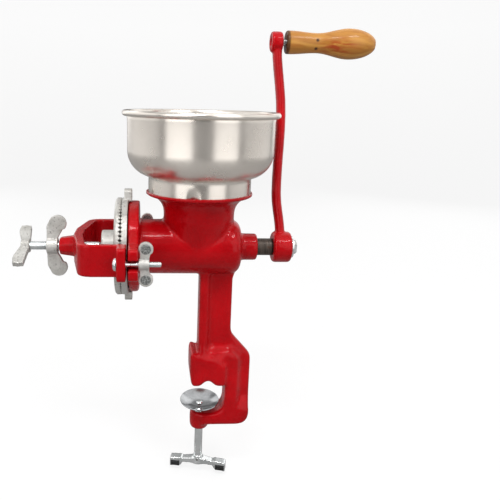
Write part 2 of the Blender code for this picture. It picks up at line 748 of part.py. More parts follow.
def build_bridge():
    inner_x = BRIDGE_CORNER_X + BRIDGE_ARM_THICK
    web_inner_x = bridge_nose_x + BRIDGE_WEB
    half = boss_large_radius
    pad_mid_x = pad_back_x + BRIDGE_PAD / 2
    yoke = prism(rounded([
        (pad_mid_x, -arm_outer_y, 0),
        (pad_mid_x, -arm_inner_y, 0),
        (inner_x, -arm_inner_y, BRIDGE_CORNER - BRIDGE_ARM_THICK),
        (web_inner_x, -half, 0),
        (web_inner_x, half, 0),
        (inner_x, arm_inner_y, BRIDGE_CORNER - BRIDGE_ARM_THICK),
        (pad_mid_x, arm_inner_y, 0),
        (pad_mid_x, arm_outer_y, 0),
        (BRIDGE_CORNER_X, arm_outer_y, BRIDGE_CORNER),
        (bridge_nose_x, half, 0),
        (bridge_nose_x, -half, 0),
        (BRIDGE_CORNER_X, -arm_outer_y, BRIDGE_CORNER),
    ]), -BRIDGE_BOTTOM, BRIDGE_TOP, OUTLINE_XY)
    boss = turned_x([
        (bridge_boss_end_x, 0.0),
        (bridge_boss_end_x, boss_small_radius),
        (bridge_nose_x + FIT, boss_large_radius),
        (web_inner_x - FIT, boss_large_radius),
        (web_inner_x - FIT, 0.0),
    ], 8)
    turn_mesh(boss, Matrix.Rotation(tau / 16, 4, "X"))
    pads = []
    holes = []
    for side in (-1, 1):
        far = side * ear_end_y
        near = side * (arm_inner_y + FIT)
        corners = [(near, -BRIDGE_PAD_HALF_HEIGHT, 0), (far, -BRIDGE_PAD_HALF_HEIGHT, EAR_CORNER),
                   (far, BRIDGE_PAD_HALF_HEIGHT, EAR_CORNER), (near, BRIDGE_PAD_HALF_HEIGHT, 0)]
        if side < 0:
            corners.reverse()
        pads.append(prism(rounded(corners), pad_back_x, pad_face_x, OUTLINE_YZ))
        hole = rod_x(pad_back_x - BRIDGE_PAD, pad_face_x + BRIDGE_PAD, BOLT_RADIUS + FIT, 24)
        holes.append(turn_mesh(hole, Matrix.Translation((0.0, side * bolt_y, 0.0))))
    bore = rod_x(bridge_boss_end_x - BRIDGE_WEB, web_inner_x + BRIDGE_WEB, ADJUST_RADIUS + FIT)
    bridge = cut(join(yoke, boss, *pads), bore, *holes)
    finish(bridge, "bridge", RED_PAINT)


def build_bolts():
    for label, side in (("front", -1), ("rear", 1)):
        place = (0.0, side * bolt_y, 0.0)
        head_x = pad_back_x - FIT
        bolt = turned_x([
            (head_x - BOLT_HEAD_THICK, 0.0),
            (head_x - BOLT_HEAD_THICK, BOLT_HEAD_RADIUS * HEAD_CROWN),
            (head_x - BOLT_HEAD_THICK / 2, BOLT_HEAD_RADIUS),
            (head_x, BOLT_HEAD_RADIUS),
            (head_x, BOLT_RADIUS),
            (bolt_end_x, BOLT_RADIUS),
            (bolt_end_x, 0.0),
        ], 24)
        finish(bolt, "bridge_bolt_" + label, ZINC, place)
        hub = turned_x([
            (nut_x, 0.0),
            (nut_x, NUT_HUB_RADIUS),
            (nut_x + NUT_HUB_LENGTH, NUT_HUB_RADIUS - NUT_HUB_TAPER),
            (nut_x + NUT_HUB_LENGTH, 0.0),
        ], 24)
        wings = winged(hub, nut_x + NUT_HUB_LENGTH / 2, NUT_NECK_HALF, NUT_LOBE_RADIUS, NUT_REACH,
                       NUT_LEAN, NUT_WING_THICK)
        hole = rod_x(nut_x - NUT_HUB_LENGTH, nut_x + NUT_HUB_LENGTH * 2, BOLT_RADIUS + FIT, 24)
        finish(cut(wings, hole), "wing_nut_" + label, CAST_GREY, place)


def winged(hub, middle_x, neck_half, lobe_radius, reach, lean, thick):
    # Two lobed wings on opposite sides of a hub on the X axis
    root = neck_half / 2
    neck_top = reach - lobe_radius * LOBE_NECK
    right_x = middle_x + neck_half
    left_x = middle_x - neck_half
    lobe = arc((middle_x + lean, reach - lobe_radius), lobe_radius, -LOBE_CURL, 180 + LOBE_CURL, 14)
    outline = [(left_x, root), (right_x, root), (right_x, neck_top), *lobe, (left_x, neck_top)]
    upper = prism(outline, -thick / 2, thick / 2, OUTLINE_XZ)
    lower = prism(outline, -thick / 2, thick / 2, OUTLINE_XZ)
    turn_mesh(lower, Matrix.Rotation(pi, 4, "X"))
    return join(hub, upper, lower)


def cross_hole(reach, place):
    # A hole for a cross pin, through both sides of a hub
    return turn_mesh(rod_z(-reach * 2, reach * 2, PIN_RADIUS + FIT, 16), place)


def build_adjuster():
    screw_start = wing_x + WING_CAP
    pin_x = wing_x + WING_PIN_X
    across = Matrix.Rotation(WING_TURN + pi / 2, 4, "X")
    pin_place = Matrix.Translation((pin_x, 0.0, 0.0)) @ across
    screw = rod_x(screw_start, adjust_tip_x, ADJUST_RADIUS)
    cup = ball((ball_x, 0.0, 0.0), BALL_RADIUS + FIT)
    finish(cut(screw, cup, cross_hole(wing_hub_radius, pin_place)), "adjusting_screw", ZINC)

    hub = rod_x(wing_x, wing_x + WING_HUB_LENGTH, wing_hub_radius)
    wing = winged(hub, wing_x + WING_HUB_LENGTH / 2, WING_NECK_HALF, WING_LOBE_RADIUS, WING_REACH,
                  WING_LEAN, WING_THICK)
    turn_mesh(wing, Matrix.Rotation(-WING_TURN, 4, "X"))
    socket = rod_x(screw_start - FIT, wing_x + WING_HUB_LENGTH * 2, ADJUST_RADIUS + FIT)
    finish(cut(wing, socket, cross_hole(wing_hub_radius, pin_place)), "adjusting_wing", CAST_GREY)
    pin_half = wing_hub_radius - FIT
    pin = turn_mesh(rod_z(-pin_half, pin_half, PIN_RADIUS, 16), across)
    finish(pin, "adjusting_wing_pin", STEEL, (pin_x, 0.0, 0.0))

    hub = rod_x(lock_x, lock_x + LOCK_HUB_LENGTH, lock_hub_radius)
    nut = winged(hub, lock_x + LOCK_HUB_LENGTH / 2, LOCK_NECK_HALF, LOCK_LOBE_RADIUS, LOCK_REACH,
                 LOCK_LEAN, LOCK_WING_THICK)
    hole = rod_x(lock_x - LOCK_HUB_LENGTH, lock_x + LOCK_HUB_LENGTH * 2, ADJUST_RADIUS + FIT)
    finish(cut(nut, hole), "lock_wing_nut", CAST_GREY)


def eased(keys, steps):
    # Points along a smooth line through the keys, level at each one
    points = []
    for (along, value), (next_along, next_value) in zip(keys, keys[1:]):
        for step in range(steps):
            share = step / steps
            blend = (1 - cos(pi * share)) / 2
            points.append((along + (next_along - along) * share, value + (next_value - value) * blend))
    points.append(keys[-1])
    return points


def arm_path():
    # The arm bends in above the hub, out past the hopper rim and in again to the grip boss
    keys = [
        (crank_hub_radius - CRANK_HUB_WALL / 2, arm_x + CRANK_HUB_SHIFT / 2),
        (ARM_BEND_Z, arm_x - ARM_SWAY),
        (RIM_TOP_Z, arm_x),
        (CRANK_THROW, grip_boss_end_x - FIT - ARM_THICK / 2),
    ]
    return [(x, 0.0, height) for height, x in eased(keys, 5)]


def build_crank():
    edge = CRANK_HUB_WALL / 3
    hub = turned_x([
        (crank_hub_x, 0.0),
        *arc((crank_hub_x + edge, crank_hub_radius - edge), edge, 180, 90, 4),
        *arc((crank_hub_end_x - edge, crank_hub_radius - edge), edge, 90, 0, 4),
        (crank_hub_end_x, 0.0),
    ], 40)
    curve = bpy.data.curves.new("arm", "CURVE")
    curve.dimensions = "3D"
    curve.bevel_depth = ARM_THICK / 2
    curve.bevel_resolution = 3
    curve.use_fill_caps = True
    path = arm_path()
    spline = curve.splines.new("POLY")
    spline.points.add(len(path) - 1)
    for point, place in zip(spline.points, path):
        point.co = (*place, 1.0)
    arm = bake(add_object(curve), Matrix.Diagonal((1.0, ARM_WIDTH / ARM_THICK, 1.0, 1.0)))
    edge = GRIP_BOSS_RADIUS / 5
    boss = turned_x([
        (grip_boss_x, 0.0),
        *arc((grip_boss_x + edge, GRIP_BOSS_RADIUS - edge), edge, 180, 90, 3),
        *arc((grip_boss_end_x - edge, GRIP_BOSS_RADIUS - edge), edge, 90, 0, 3),
        (grip_boss_end_x, 0.0),
    ], 24)
    throw = Matrix.Translation((0.0, 0.0, CRANK_THROW))
    turn_mesh(boss, throw)
    crank = join(hub, arm, boss)
    shaft_hole = rod_x(crank_hub_x - BEARING_LENGTH, crank_hub_end_x + BEARING_LENGTH, seat_radius + FIT)
    boss_far = grip_boss_end_x + GRIP_BOSS_LENGTH
    pin_hole = rod_x(grip_boss_x - GRIP_BOSS_LENGTH, boss_far, HANDLE_PIN_RADIUS + FIT)
    turn_mesh(pin_hole, throw)
    crank = cut(crank, shaft_hole, pin_hole)
    tilt = Matrix.Rotation(-CRANK_TILT, 4, "X")
    finish(turn_mesh(crank, tilt), "crank_arm", RED_PAINT)

    washer_x = crank_hub_end_x + FIT
    washer_end = washer_x + CRANK_WASHER_THICK
    washer = ring_x(washer_x, washer_end, CRANK_BOLT_RADIUS + FIT, CRANK_WASHER_RADIUS, 40)
    finish(washer, "crank_washer", ZINC)
    head_x = washer_end + FIT
    head = rod_x(head_x, head_x + CRANK_BOLT_HEAD_THICK, CRANK_BOLT_HEAD, 6)
    shank_start = crank_hub_end_x - CRANK_BOLT_LENGTH
    shank = rod_x(shank_start, head_x + CRANK_BOLT_HEAD_THICK / 2, CRANK_BOLT_RADIUS, 20)
    finish(join(head, shank), "crank_bolt", ZINC)
    build_grip()


def build_grip():
    grip_end = grip_x + GRIP_LENGTH
    nose_x = grip_end - GRIP_NOSE_LENGTH
    profile = [(radius, x) for x, radius in eased([
        (grip_x, GRIP_END_RADIUS - GRIP_FACE_INSET),
        (grip_x + GRIP_BEAD_LENGTH, GRIP_END_RADIUS),
        (grip_x + GRIP_NECK_LENGTH, GRIP_NECK_RADIUS),
        (nose_x, GRIP_BULB_RADIUS),
    ], 4)]
    for angle in (16, 32, 48, 64):
        nose = radians(angle)
        profile.append((GRIP_BULB_RADIUS * cos(nose), nose_x + GRIP_NOSE_LENGTH * sin(nose)))
    hole = HANDLE_PIN_RADIUS + RUN
    recess = grip_end - HANDLE_PIN_HEAD_THICK * 2
    head_hole = HANDLE_PIN_HEAD + RUN
    profile += [(head_hole, grip_end), (head_hole, recess), (hole, recess), (hole, grip_x)]
    grip = turned(profile, 28, ALONG_X, loop=True)
    swing = Vector((0.0, CRANK_THROW * sin(CRANK_TILT), CRANK_THROW * cos(CRANK_TILT)))
    finish(grip, "handle_grip", PINE, swing)

    pin_start = grip_boss_x + HANDLE_PIN_SINK
    head_x = recess + RUN
    pin = turned_x([
        (pin_start, 0.0),
        (pin_start, HANDLE_PIN_RADIUS),
        (head_x, HANDLE_PIN_RADIUS),
        (head_x, HANDLE_PIN_HEAD),
        (head_x + HANDLE_PIN_HEAD_THICK / 2, HANDLE_PIN_HEAD),
        (head_x + HANDLE_PIN_HEAD_THICK, HANDLE_PIN_HEAD * HEAD_CROWN),
        (head_x + HANDLE_PIN_HEAD_THICK, 0.0),
    ], 24)
    finish(pin, "handle_pin", STEEL, swing)


def build_hopper():
    # One turned sheet: rolled rim, straight wall, round corner, sloped shoulder and collar
    wall_top = RIM_TOP_Z - RIM_BEAD * 2
    corner_z = SHOULDER_Z + BOWL_CORNER
    corner = arc((BOWL_RADIUS - BOWL_CORNER, corner_z), BOWL_CORNER, 0, -80, 5)
    bead = arc((RIM_RADIUS - RIM_BEAD, RIM_TOP_Z - RIM_BEAD), RIM_BEAD, 150, -150, 8)
    inner_corner = arc((BOWL_RADIUS - BOWL_CORNER, corner_z), BOWL_CORNER - SHEET, -80, 0, 5)
    profile = [
        *bead,
        (BOWL_RADIUS, wall_top - RIM_BEAD),
        *corner,
        (COLLAR_RADIUS, SHOULDER_Z - SHEET),
        (COLLAR_RADIUS, seat_z),
        (COLLAR_RADIUS - SHEET, seat_z),
        (COLLAR_RADIUS - SHEET, SHOULDER_Z),
        *inner_corner,
        (BOWL_RADIUS - SHEET, wall_top - RIM_BEAD),
    ]
    finish(turned(profile, 48, loop=True), "hopper", ALUMINIUM)


def build_clamp():
    # The dished plate turns on the necked tip of the screw, held by the peened end
    hole_radius = CLAMP_NECK_RADIUS + FIT
    bow = []
    for step in range(5):
        share = step / 4
        radius = hole_radius + (PLATE_RADIUS - hole_radius) * share
        bow.append((radius, plate_z + PLATE_DISH * share * share))
    above = [(radius, height + PLATE_THICK) for radius, height in reversed(bow)]
    plate = turned(bow + above, 32, loop=True)
    place = (CLAMP_X, 0.0, 0.0)
    finish(plate, "clamp_plate", ZINC, place)

    shoulder_z = plate_z - FIT
    peen_z = plate_z + PLATE_THICK + FIT
    screw_low = tee_z - TEE_HUB_LENGTH + TEE_CAP
    screw = turned([
        (0.0, screw_low),
        (CLAMP_SCREW_RADIUS, screw_low),
        (CLAMP_SCREW_RADIUS, shoulder_z),
        (CLAMP_NECK_RADIUS, shoulder_z),
        (CLAMP_NECK_RADIUS, peen_z),
        (CLAMP_PEEN_RADIUS, peen_z),
        (CLAMP_PEEN_RADIUS * HEAD_CROWN, peen_z + CLAMP_PEEN_THICK),
        (0.0, peen_z + CLAMP_PEEN_THICK),
    ], 24)
    spin = Matrix.Rotation(TEE_TURN, 4, "Z")
    across = Matrix.Translation((0.0, 0.0, tee_z - TEE_PIN_DROP)) @ spin @ Matrix.Rotation(pi / 2, 4, "X")
    finish(cut(screw, cross_hole(tee_hub_radius, across)), "clamp_screw", ZINC, place)

    hub = turned_x([
        (-TEE_HUB_LENGTH, 0.0),
        (-TEE_HUB_LENGTH, tee_hub_radius),
        (0.0, tee_hub_radius - TEE_HUB_TAPER),
        (0.0, 0.0),
    ], 24)
    wing = winged(hub, -TEE_BAR_DROP, TEE_NECK_HALF, TEE_LOBE_RADIUS, TEE_REACH, TEE_LEAN, TEE_THICK)
    upright = Matrix.Rotation(-pi / 2, 4, "Y")
    turn_mesh(wing, Matrix.Translation((0.0, 0.0, tee_z)) @ spin @ upright)
    socket = rod_z(screw_low - FIT, tee_z + TEE_HUB_LENGTH, CLAMP_SCREW_RADIUS + FIT)
    finish(cut(wing, socket, cross_hole(tee_hub_radius, across)), "clamp_wing", ZINC, place)
    pin_half = tee_hub_radius - TEE_HUB_TAPER - FIT
    pin = turn_mesh(rod_z(-pin_half, pin_half, PIN_RADIUS, 16), across)
    finish(pin, "clamp_wing_pin", STEEL, place)


build_body()
build_discs()
build_shaft()
build_bridge()
build_bolts()
build_adjuster()
build_crank()
build_hopper()
build_clamp()
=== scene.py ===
from math import cos, pi, radians, sin, tau

import bmesh
import bpy
from mathutils import Matrix, Vector


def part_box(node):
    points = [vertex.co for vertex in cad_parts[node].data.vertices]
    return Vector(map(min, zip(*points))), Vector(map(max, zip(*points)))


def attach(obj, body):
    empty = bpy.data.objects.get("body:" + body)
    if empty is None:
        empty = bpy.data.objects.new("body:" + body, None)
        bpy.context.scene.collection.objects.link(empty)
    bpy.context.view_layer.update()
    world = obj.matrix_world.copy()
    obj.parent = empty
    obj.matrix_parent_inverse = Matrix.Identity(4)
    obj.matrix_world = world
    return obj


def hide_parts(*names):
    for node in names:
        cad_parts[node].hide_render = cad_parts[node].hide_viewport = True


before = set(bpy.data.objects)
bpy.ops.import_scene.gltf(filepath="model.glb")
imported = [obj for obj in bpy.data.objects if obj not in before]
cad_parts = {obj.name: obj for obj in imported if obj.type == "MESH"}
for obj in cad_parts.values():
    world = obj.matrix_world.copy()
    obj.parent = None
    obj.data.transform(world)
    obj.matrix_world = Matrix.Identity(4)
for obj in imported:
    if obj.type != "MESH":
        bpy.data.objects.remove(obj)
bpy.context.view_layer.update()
shaftZ = 0.137  # height of the shaft's axis
mergeWithin = 1e-6
print("frame:", len(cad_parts), "nodes")


# Material helpers

noiseSpan = (0.3, 0.7)  # where most values of a noise lie


def newFinish(name):
    finish = bpy.data.materials.new(name)
    finish.use_nodes = True
    return finish, finish.node_tree, finish.node_tree.nodes["Principled BSDF"]


def fill(tree, socket, value):
    if isinstance(value, bpy.types.NodeSocket):
        tree.links.new(value, socket)
    else:
        socket.default_value = value


def addNode(tree, kind, inputs):
    node = tree.nodes.new(kind)
    for key, value in inputs.items():
        fill(tree, node.inputs[key], value)
    return node


def dress(tree, shader, **inputs):
    for key, value in inputs.items():
        fill(tree, shader.inputs[key.replace("_", " ")], value)


def place(tree, stretch=(1, 1, 1), shift=(0, 0, 0)):
    coords = tree.nodes.new("ShaderNodeTexCoord")
    inputs = {"Vector": coords.outputs["Object"], "Scale": stretch, "Location": shift}
    return addNode(tree, "ShaderNodeMapping", inputs).outputs["Vector"]


def noise(tree, where, scale, detail=4, rough=0.55, twist=0):
    inputs = {"Vector": where, "Scale": scale, "Detail": detail, "Roughness": rough,
              "Distortion": twist}
    return addNode(tree, "ShaderNodeTexNoise", inputs).outputs["Fac"]


def ramp(tree, value, *stops):
    node = addNode(tree, "ShaderNodeValToRGB", {"Fac": value})
    for element, (position, colour) in zip(node.color_ramp.elements, stops):
        element.position = position
        element.color = (*colour, 1)
    return node.outputs["Color"]


def scaled(tree, value, fromLow, fromHigh, toLow, toHigh):
    inputs = {"Value": value, "From Min": fromLow, "From Max": fromHigh,
              "To Min": toLow, "To Max": toHigh}
    return addNode(tree, "ShaderNodeMapRange", inputs).outputs["Result"]


def spread(tree, value, ends):
    return scaled(tree, value, *noiseSpan, *ends)


def mixed(tree, share, first, second):
    node = tree.nodes.new("ShaderNodeMix")
    node.data_type = "RGBA"
    for index, value in ((0, share), (6, first), (7, second)):  # the colour mix's own sockets
        fill(tree, node.inputs[index], value)
    return node.outputs[2]


def tinted(tree, colour, share, over):
    return mixed(tree, share, colour, (*over, 1))


def bump(tree, height, strength, distance):
    inputs = {"Height": height, "Strength": strength, "Distance": distance}
    return addNode(tree, "ShaderNodeBump", inputs).outputs["Normal"]


def combined(tree, mode, first, second):
    node = tree.nodes.new("ShaderNodeMath")
    node.operation = mode
    fill(tree, node.inputs[0], first)
    fill(tree, node.inputs[1], second)
    return node.outputs[0]


def measured(tree, mode, *vectors):
    node = tree.nodes.new("ShaderNodeVectorMath")
    node.operation = mode
    for socket, vector in zip(node.inputs, vectors):
        fill(tree, socket, vector)
    return node.outputs["Value"]


# Materials: a plain number is the scale of the noise of that name

enamelLook = {
    "deep": (0.33, 0.001, 0.003), "bright": (0.48, 0.002, 0.005), "dust": (0.24, 0.006, 0.009),
    "drift": 34, "pebble": 620, "wave": 150, "speck": 900, "gloss": 70,
    "drifts": (0.3, 0.72), "dusty": (0.62, 0.78, 0, 0.5), "waveShare": 1.8,
    "rough": (0.2, 0.36), "bump": (0.32, 0.0006), "coat": (0.22, 0.06),
    "specular": 0.35, "sheen": (1, 0.12, 0.16, 1),
}


def makeEnamel(look):
    finish, tree, shader = newFinish("redEnamelFinish")
    where = place(tree)
    low, high = look["drifts"]
    drift = noise(tree, where, look["drift"], 3)
    pebble = noise(tree, where, look["pebble"], 3)
    wave = noise(tree, where, look["wave"], 2)
    speck = noise(tree, where, look["speck"], 2, 0.7)
    gloss = noise(tree, where, look["gloss"], 5)
    colour = ramp(tree, drift, (low, look["deep"]), (high, look["bright"]))
    colour = tinted(tree, colour, scaled(tree, speck, *look["dusty"]), look["dust"])
    height = combined(tree, "ADD", pebble, combined(tree, "MULTIPLY", wave, look["waveShare"]))
    coat, coatRough = look["coat"]
    dress(tree, shader, Base_Color=colour, Roughness=spread(tree, gloss, look["rough"]),
          Normal=bump(tree, height, *look["bump"]), Coat_Weight=coat, Coat_Roughness=coatRough,
          Specular_IOR_Level=look["specular"], Specular_Tint=look["sheen"])
    return finish


castLook = {
    "pale": (0.63, 0.62, 0.59), "dull": (0.44, 0.43, 0.4), "pit": (0.12, 0.11, 0.1),
    "drift": 60, "pits": 520, "fine": 1400, "drifts": (0.3, 0.6), "pitted": (0.41, 0.29, 0, 0.85),
    "fineShare": 0.35, "metal": 0.6, "rough": (0.36, 0.56), "bump": (0.5, 0.0008),
}


def makeCast(look):
    finish, tree, shader = newFinish("castGreyFinish")
    where = place(tree)
    low, high = look["drifts"]
    drift = noise(tree, where, look["drift"], 4)
    pits = noise(tree, where, look["pits"], 3, 0.6)
    fine = noise(tree, where, look["fine"], 2)
    colour = ramp(tree, drift, (low, look["dull"]), (high, look["pale"]))
    colour = tinted(tree, colour, scaled(tree, pits, *look["pitted"]), look["pit"])
    height = combined(tree, "ADD", pits, combined(tree, "MULTIPLY", fine, look["fineShare"]))
    dress(tree, shader, Base_Color=colour, Metallic=look["metal"],
          Roughness=spread(tree, fine, look["rough"]), Normal=bump(tree, height, *look["bump"]))
    return finish


shaftLook = {
    "dark": (0.03, 0.022, 0.018), "rubbed": (0.12, 0.095, 0.078), "rust": (0.1, 0.035, 0.012),
    "rings": 70, "ringStretch": (30, 1, 1), "stain": 120, "ringed": (0.35, 0.68),
    "rusty": (0.58, 0.72, 0, 0.7), "metal": 0.6, "rough": (0.34, 0.6), "bump": (0.25, 0.0004),
}


def makeBareIron(look):
    finish, tree, shader = newFinish("bareIronFinish")
    low, high = look["ringed"]
    rings = noise(tree, place(tree, look["ringStretch"]), look["rings"], 4)
    stain = noise(tree, place(tree), look["stain"], 5)
    colour = ramp(tree, rings, (low, look["dark"]), (high, look["rubbed"]))
    colour = tinted(tree, colour, scaled(tree, stain, *look["rusty"]), look["rust"])
    dress(tree, shader, Base_Color=colour, Metallic=look["metal"],
          Roughness=spread(tree, stain, look["rough"]), Normal=bump(tree, rings, *look["bump"]))
    return finish


padSurface = {"pits": 700, "pitted": (0.42, 0.7), "metal": 0.3, "rough": (0.35, 0.6),
              "bump": (0.6, 0.0006)}
# The clamp wing's pads are near black: a painted dark reflection
reflectionPadLook = {**padSurface, "dark": (0.008, 0.009, 0.009), "grey": (0.05, 0.052, 0.05)}
nutPadLook = {**padSurface, "dark": (0.08, 0.085, 0.08), "grey": (0.42, 0.43, 0.42)}


def makePad(name, look):
    finish, tree, shader = newFinish(name)
    low, high = look["pitted"]
    pits = noise(tree, place(tree), look["pits"], 3, 0.6)
    colour = ramp(tree, pits, (low, look["dark"]), (high, look["grey"]))
    dress(tree, shader, Base_Color=colour, Metallic=look["metal"],
          Roughness=spread(tree, pits, look["rough"]), Normal=bump(tree, pits, *look["bump"]))
    return finish


zincSurface = {"cloud": 90, "fine": 1100, "clouded": (0.3, 0.62), "rough": (0.12, 0.24),
               "bump": (0.08, 0.0003)}
zincLook = {**zincSurface, "pale": (0.9, 0.92, 0.92), "dull": (0.7, 0.73, 0.73)}
# The swivel plate gets a darker copy of the zinc: painted shade
shadedPlateLook = {**zincSurface, "pale": (0.52, 0.53, 0.54), "dull": (0.34, 0.35, 0.36)}
steelLook = {"cloud": 260, "fine": 1500, "clouded": (0.32, 0.66), "rough": (0.2, 0.42),
             "bump": (0.15, 0.0003), "pale": (0.5, 0.5, 0.5), "dull": (0.22, 0.21, 0.2)}


def makePlated(name, look, fineDetail):
    finish, tree, shader = newFinish(name)
    where = place(tree)
    low, high = look["clouded"]
    cloud = noise(tree, where, look["cloud"], 4)
    fine = noise(tree, where, look["fine"], fineDetail)
    colour = ramp(tree, cloud, (low, look["dull"]), (high, look["pale"]))
    dress(tree, shader, Base_Color=colour, Metallic=1.0,
          Roughness=spread(tree, cloud, look["rough"]), Normal=bump(tree, fine, *look["bump"]))
    return finish


aluminiumLook = {
    "pale": (0.86, 0.8, 0.73), "dull": (0.78, 0.72, 0.65), "mark": (0.52, 0.49, 0.45),
    "lines": 90, "lineStretch": (0.15, 0.15, 40), "cloud": 26, "clouded": (0.28, 0.6),
    "scuff": 160, "scuffStretch": (1, 1, 1.6), "scuffed": (0.66, 0.8, 0, 0.16),
    "rough": (0.25, 0.31), "bump": (0.012, 0.0001), "brushed": 0.7, "brushTurn": 0.25,
}


def makeAluminium(look):
    finish, tree, shader = newFinish("spunAluminiumFinish")
    low, high = look["clouded"]
    lines = noise(tree, place(tree, look["lineStretch"]), look["lines"], 2)
    cloud = noise(tree, place(tree), look["cloud"], 4)
    scuff = noise(tree, place(tree, look["scuffStretch"]), look["scuff"], 5, 0.65, 0.6)
    colour = ramp(tree, cloud, (low, look["dull"]), (high, look["pale"]))
    colour = tinted(tree, colour, scaled(tree, scuff, *look["scuffed"]), look["mark"])
    around = tree.nodes.new("ShaderNodeTangent")
    around.axis = "Z"
    dress(tree, shader, Base_Color=colour, Metallic=1.0,
          Roughness=spread(tree, cloud, look["rough"]), Normal=bump(tree, lines, *look["bump"]),
          Anisotropic=look["brushed"], Anisotropic_Rotation=look["brushTurn"],
          Tangent=around.outputs["Tangent"])
    return finish


# In the pine, each pair is the stretch along the grip and the scale of that noise
pineLook = {
    "pale": (0.54, 0.255, 0.05), "gold": (0.38, 0.15, 0.022), "streak": (0.34, 0.045, 0.006),
    # The dark colour is the knots' own and also a painted shade on the grip's end
    "knotAndEndShade": (0.035, 0.012, 0.006), "knots": ((0.1072, 0.0255, 0.3257), (0.1064, 0.0273, 0.318)),
    "knotFade": (0.0008, 0.0022, 0.95, 0), "endShadeFade": (0.0812, 0.0826, 0.85, 0),
    "fibre": (0.05, 330), "figure": (0.1, 120), "band": (0.06, 75), "vein": (0.12, 430),
    "figured": (0.32, 0.62), "fibred": (0.5, 0.75, 0, 0.55), "banded": (0.56, 0.66, 0, 0.6),
    "veined": (0.4, 0.6, 0.1, 1), "blush": (0.127, 0.024, 0.3205), "blushStretch": (42, 45, 105),
    "blushFade": (0.25, 1, 0.95, 0), "rough": (0.3, 0.42), "bump": (0.14, 0.0004),
    "specular": 0.22, "coat": (0.2, 0.12),
}


def makePine(look):
    finish, tree, shader = newFinish("varnishedPineFinish")
    where = place(tree)

    def along(key, *more):
        stretch, scale = look[key]
        return noise(tree, place(tree, (stretch, 1, 1)), scale, *more)

    low, high = look["figured"]
    fibre = along("fibre", 4, 0.6)
    colour = ramp(tree, along("figure", 3, 0.5, 1.2), (low, look["gold"]), (high, look["pale"]))
    colour = tinted(tree, colour, scaled(tree, fibre, *look["fibred"]), look["gold"])
    band = scaled(tree, along("band", 2, 0.5, 0.8), *look["banded"])
    colour = tinted(tree, colour, band, look["streak"])
    # A reddish blush of thin veins on the bulb
    stretch = look["blushStretch"]
    centred = place(tree, stretch, [-at * by for at, by in zip(look["blush"], stretch)])
    fade = scaled(tree, measured(tree, "LENGTH", centred), *look["blushFade"])
    vein = scaled(tree, along("vein", 3), *look["veined"])
    colour = tinted(tree, colour, combined(tree, "MULTIPLY", vein, fade), look["streak"])
    # A painted shade on the grip's end, and two small knots
    forward = addNode(tree, "ShaderNodeSeparateXYZ", {"Vector": where}).outputs["X"]
    colour = tinted(tree, colour, scaled(tree, forward, *look["endShadeFade"]), look["knotAndEndShade"])
    for spot in look["knots"]:
        away = measured(tree, "DISTANCE", where, spot)
        colour = tinted(tree, colour, scaled(tree, away, *look["knotFade"]), look["knotAndEndShade"])
    coat, coatRough = look["coat"]
    dress(tree, shader, Base_Color=colour, Roughness=spread(tree, fibre, look["rough"]),
          Normal=bump(tree, fibre, *look["bump"]), Specular_IOR_Level=look["specular"],
          Coat_Weight=coat, Coat_Roughness=coatRough)
    return finish


finishes = {
    "red_enamel": makeEnamel(enamelLook),
    "cast_grey": makeCast(castLook),
    "bare_iron": makeBareIron(shaftLook),
    "zinc_plate": makePlated("zincPlateFinish", zincLook, 3),
    "bright_steel": makePlated("brightSteelFinish", steelLook, 2),
    "spun_aluminium": makeAluminium(aluminiumLook),
    "varnished_pine": makePine(pineLook),
}
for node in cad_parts.values():
    for part in node.material_slots:
        part.material = finishes[part.material.name.split(".")[0]]
print("materials:", len(finishes))


# Shape helpers

def addPiece(name, shape, slot, body, *nodes, crease=40, finish=None):
    bmesh.ops.remove_doubles(shape, verts=shape.verts, dist=mergeWithin)
    bmesh.ops.recalc_face_normals(shape, faces=shape.faces)
    mesh = bpy.data.meshes.new(name)
    shape.to_mesh(mesh)
    shape.free()
    mesh.materials.append(finish or finishes[slot])
    mesh.shade_smooth()
    mesh.set_sharp_from_angle(angle=radians(crease))
    piece = bpy.data.objects.new(name, mesh)
    bpy.context.scene.collection.objects.link(piece)
    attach(piece, body)
    if nodes:
        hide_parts(*nodes)
    return piece


def cadCopy(node):
    shape = bmesh.new()
    shape.from_mesh(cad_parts[node].data)
    bmesh.ops.remove_doubles(shape, verts=shape.verts, dist=mergeWithin)
    return shape


def addSkin(holder, voxel):
    skin = holder.modifiers.new("skin", "REMESH")
    skin.mode = "VOXEL"
    skin.voxel_size = voxel
    skin.use_smooth_shade = True


def lighten(piece, ratio):
    piece.modifiers.new("lighten", "DECIMATE").ratio = ratio


def soften(piece, voxel, rounds, keep=1.0):
    addSkin(piece, voxel)
    rounding = piece.modifiers.new("rounding", "SMOOTH")
    rounding.factor = 0.5
    rounding.iterations = rounds
    if keep < 1:
        lighten(piece, keep)


def skinned(shape, voxel):
    # A closed skin of small even faces over every solid in the shape
    mesh = bpy.data.meshes.new("skin")
    shape.to_mesh(mesh)
    shape.free()
    holder = bpy.data.objects.new("skin", mesh)
    bpy.context.scene.collection.objects.link(holder)
    addSkin(holder, voxel)
    shape = bmesh.new()
    shape.from_object(holder, bpy.context.evaluated_depsgraph_get())
    bpy.data.objects.remove(holder)
    bpy.data.meshes.remove(mesh)
    return shape


def smoothed(shape, rounds, inside=lambda spot: True):
    verts = [vert for vert in shape.verts if inside(vert.co)]
    for step in range(rounds):
        bmesh.ops.smooth_vert(shape, verts=verts, factor=0.5,
                              use_axis_x=True, use_axis_y=True, use_axis_z=True)
    return shape


def easeEdges(piece, width, segments, limit):
    edges = piece.modifiers.new("edges", "BEVEL")
    edges.width = width
    edges.segments = segments
    edges.limit_method = "ANGLE"
    edges.angle_limit = limit


def bevelled(shape, edges, offset):
    bmesh.ops.bevel(shape, geom=edges, offset=offset, segments=3, profile=0.5, affect="EDGES",
                    material=-1)


def arc(centre, radius, start, end, steps):
    angles = [radians(start + (end - start) * step / steps) for step in range(steps + 1)]
    return [(centre[0] + radius * cos(angle), centre[1] + radius * sin(angle)) for angle in angles]


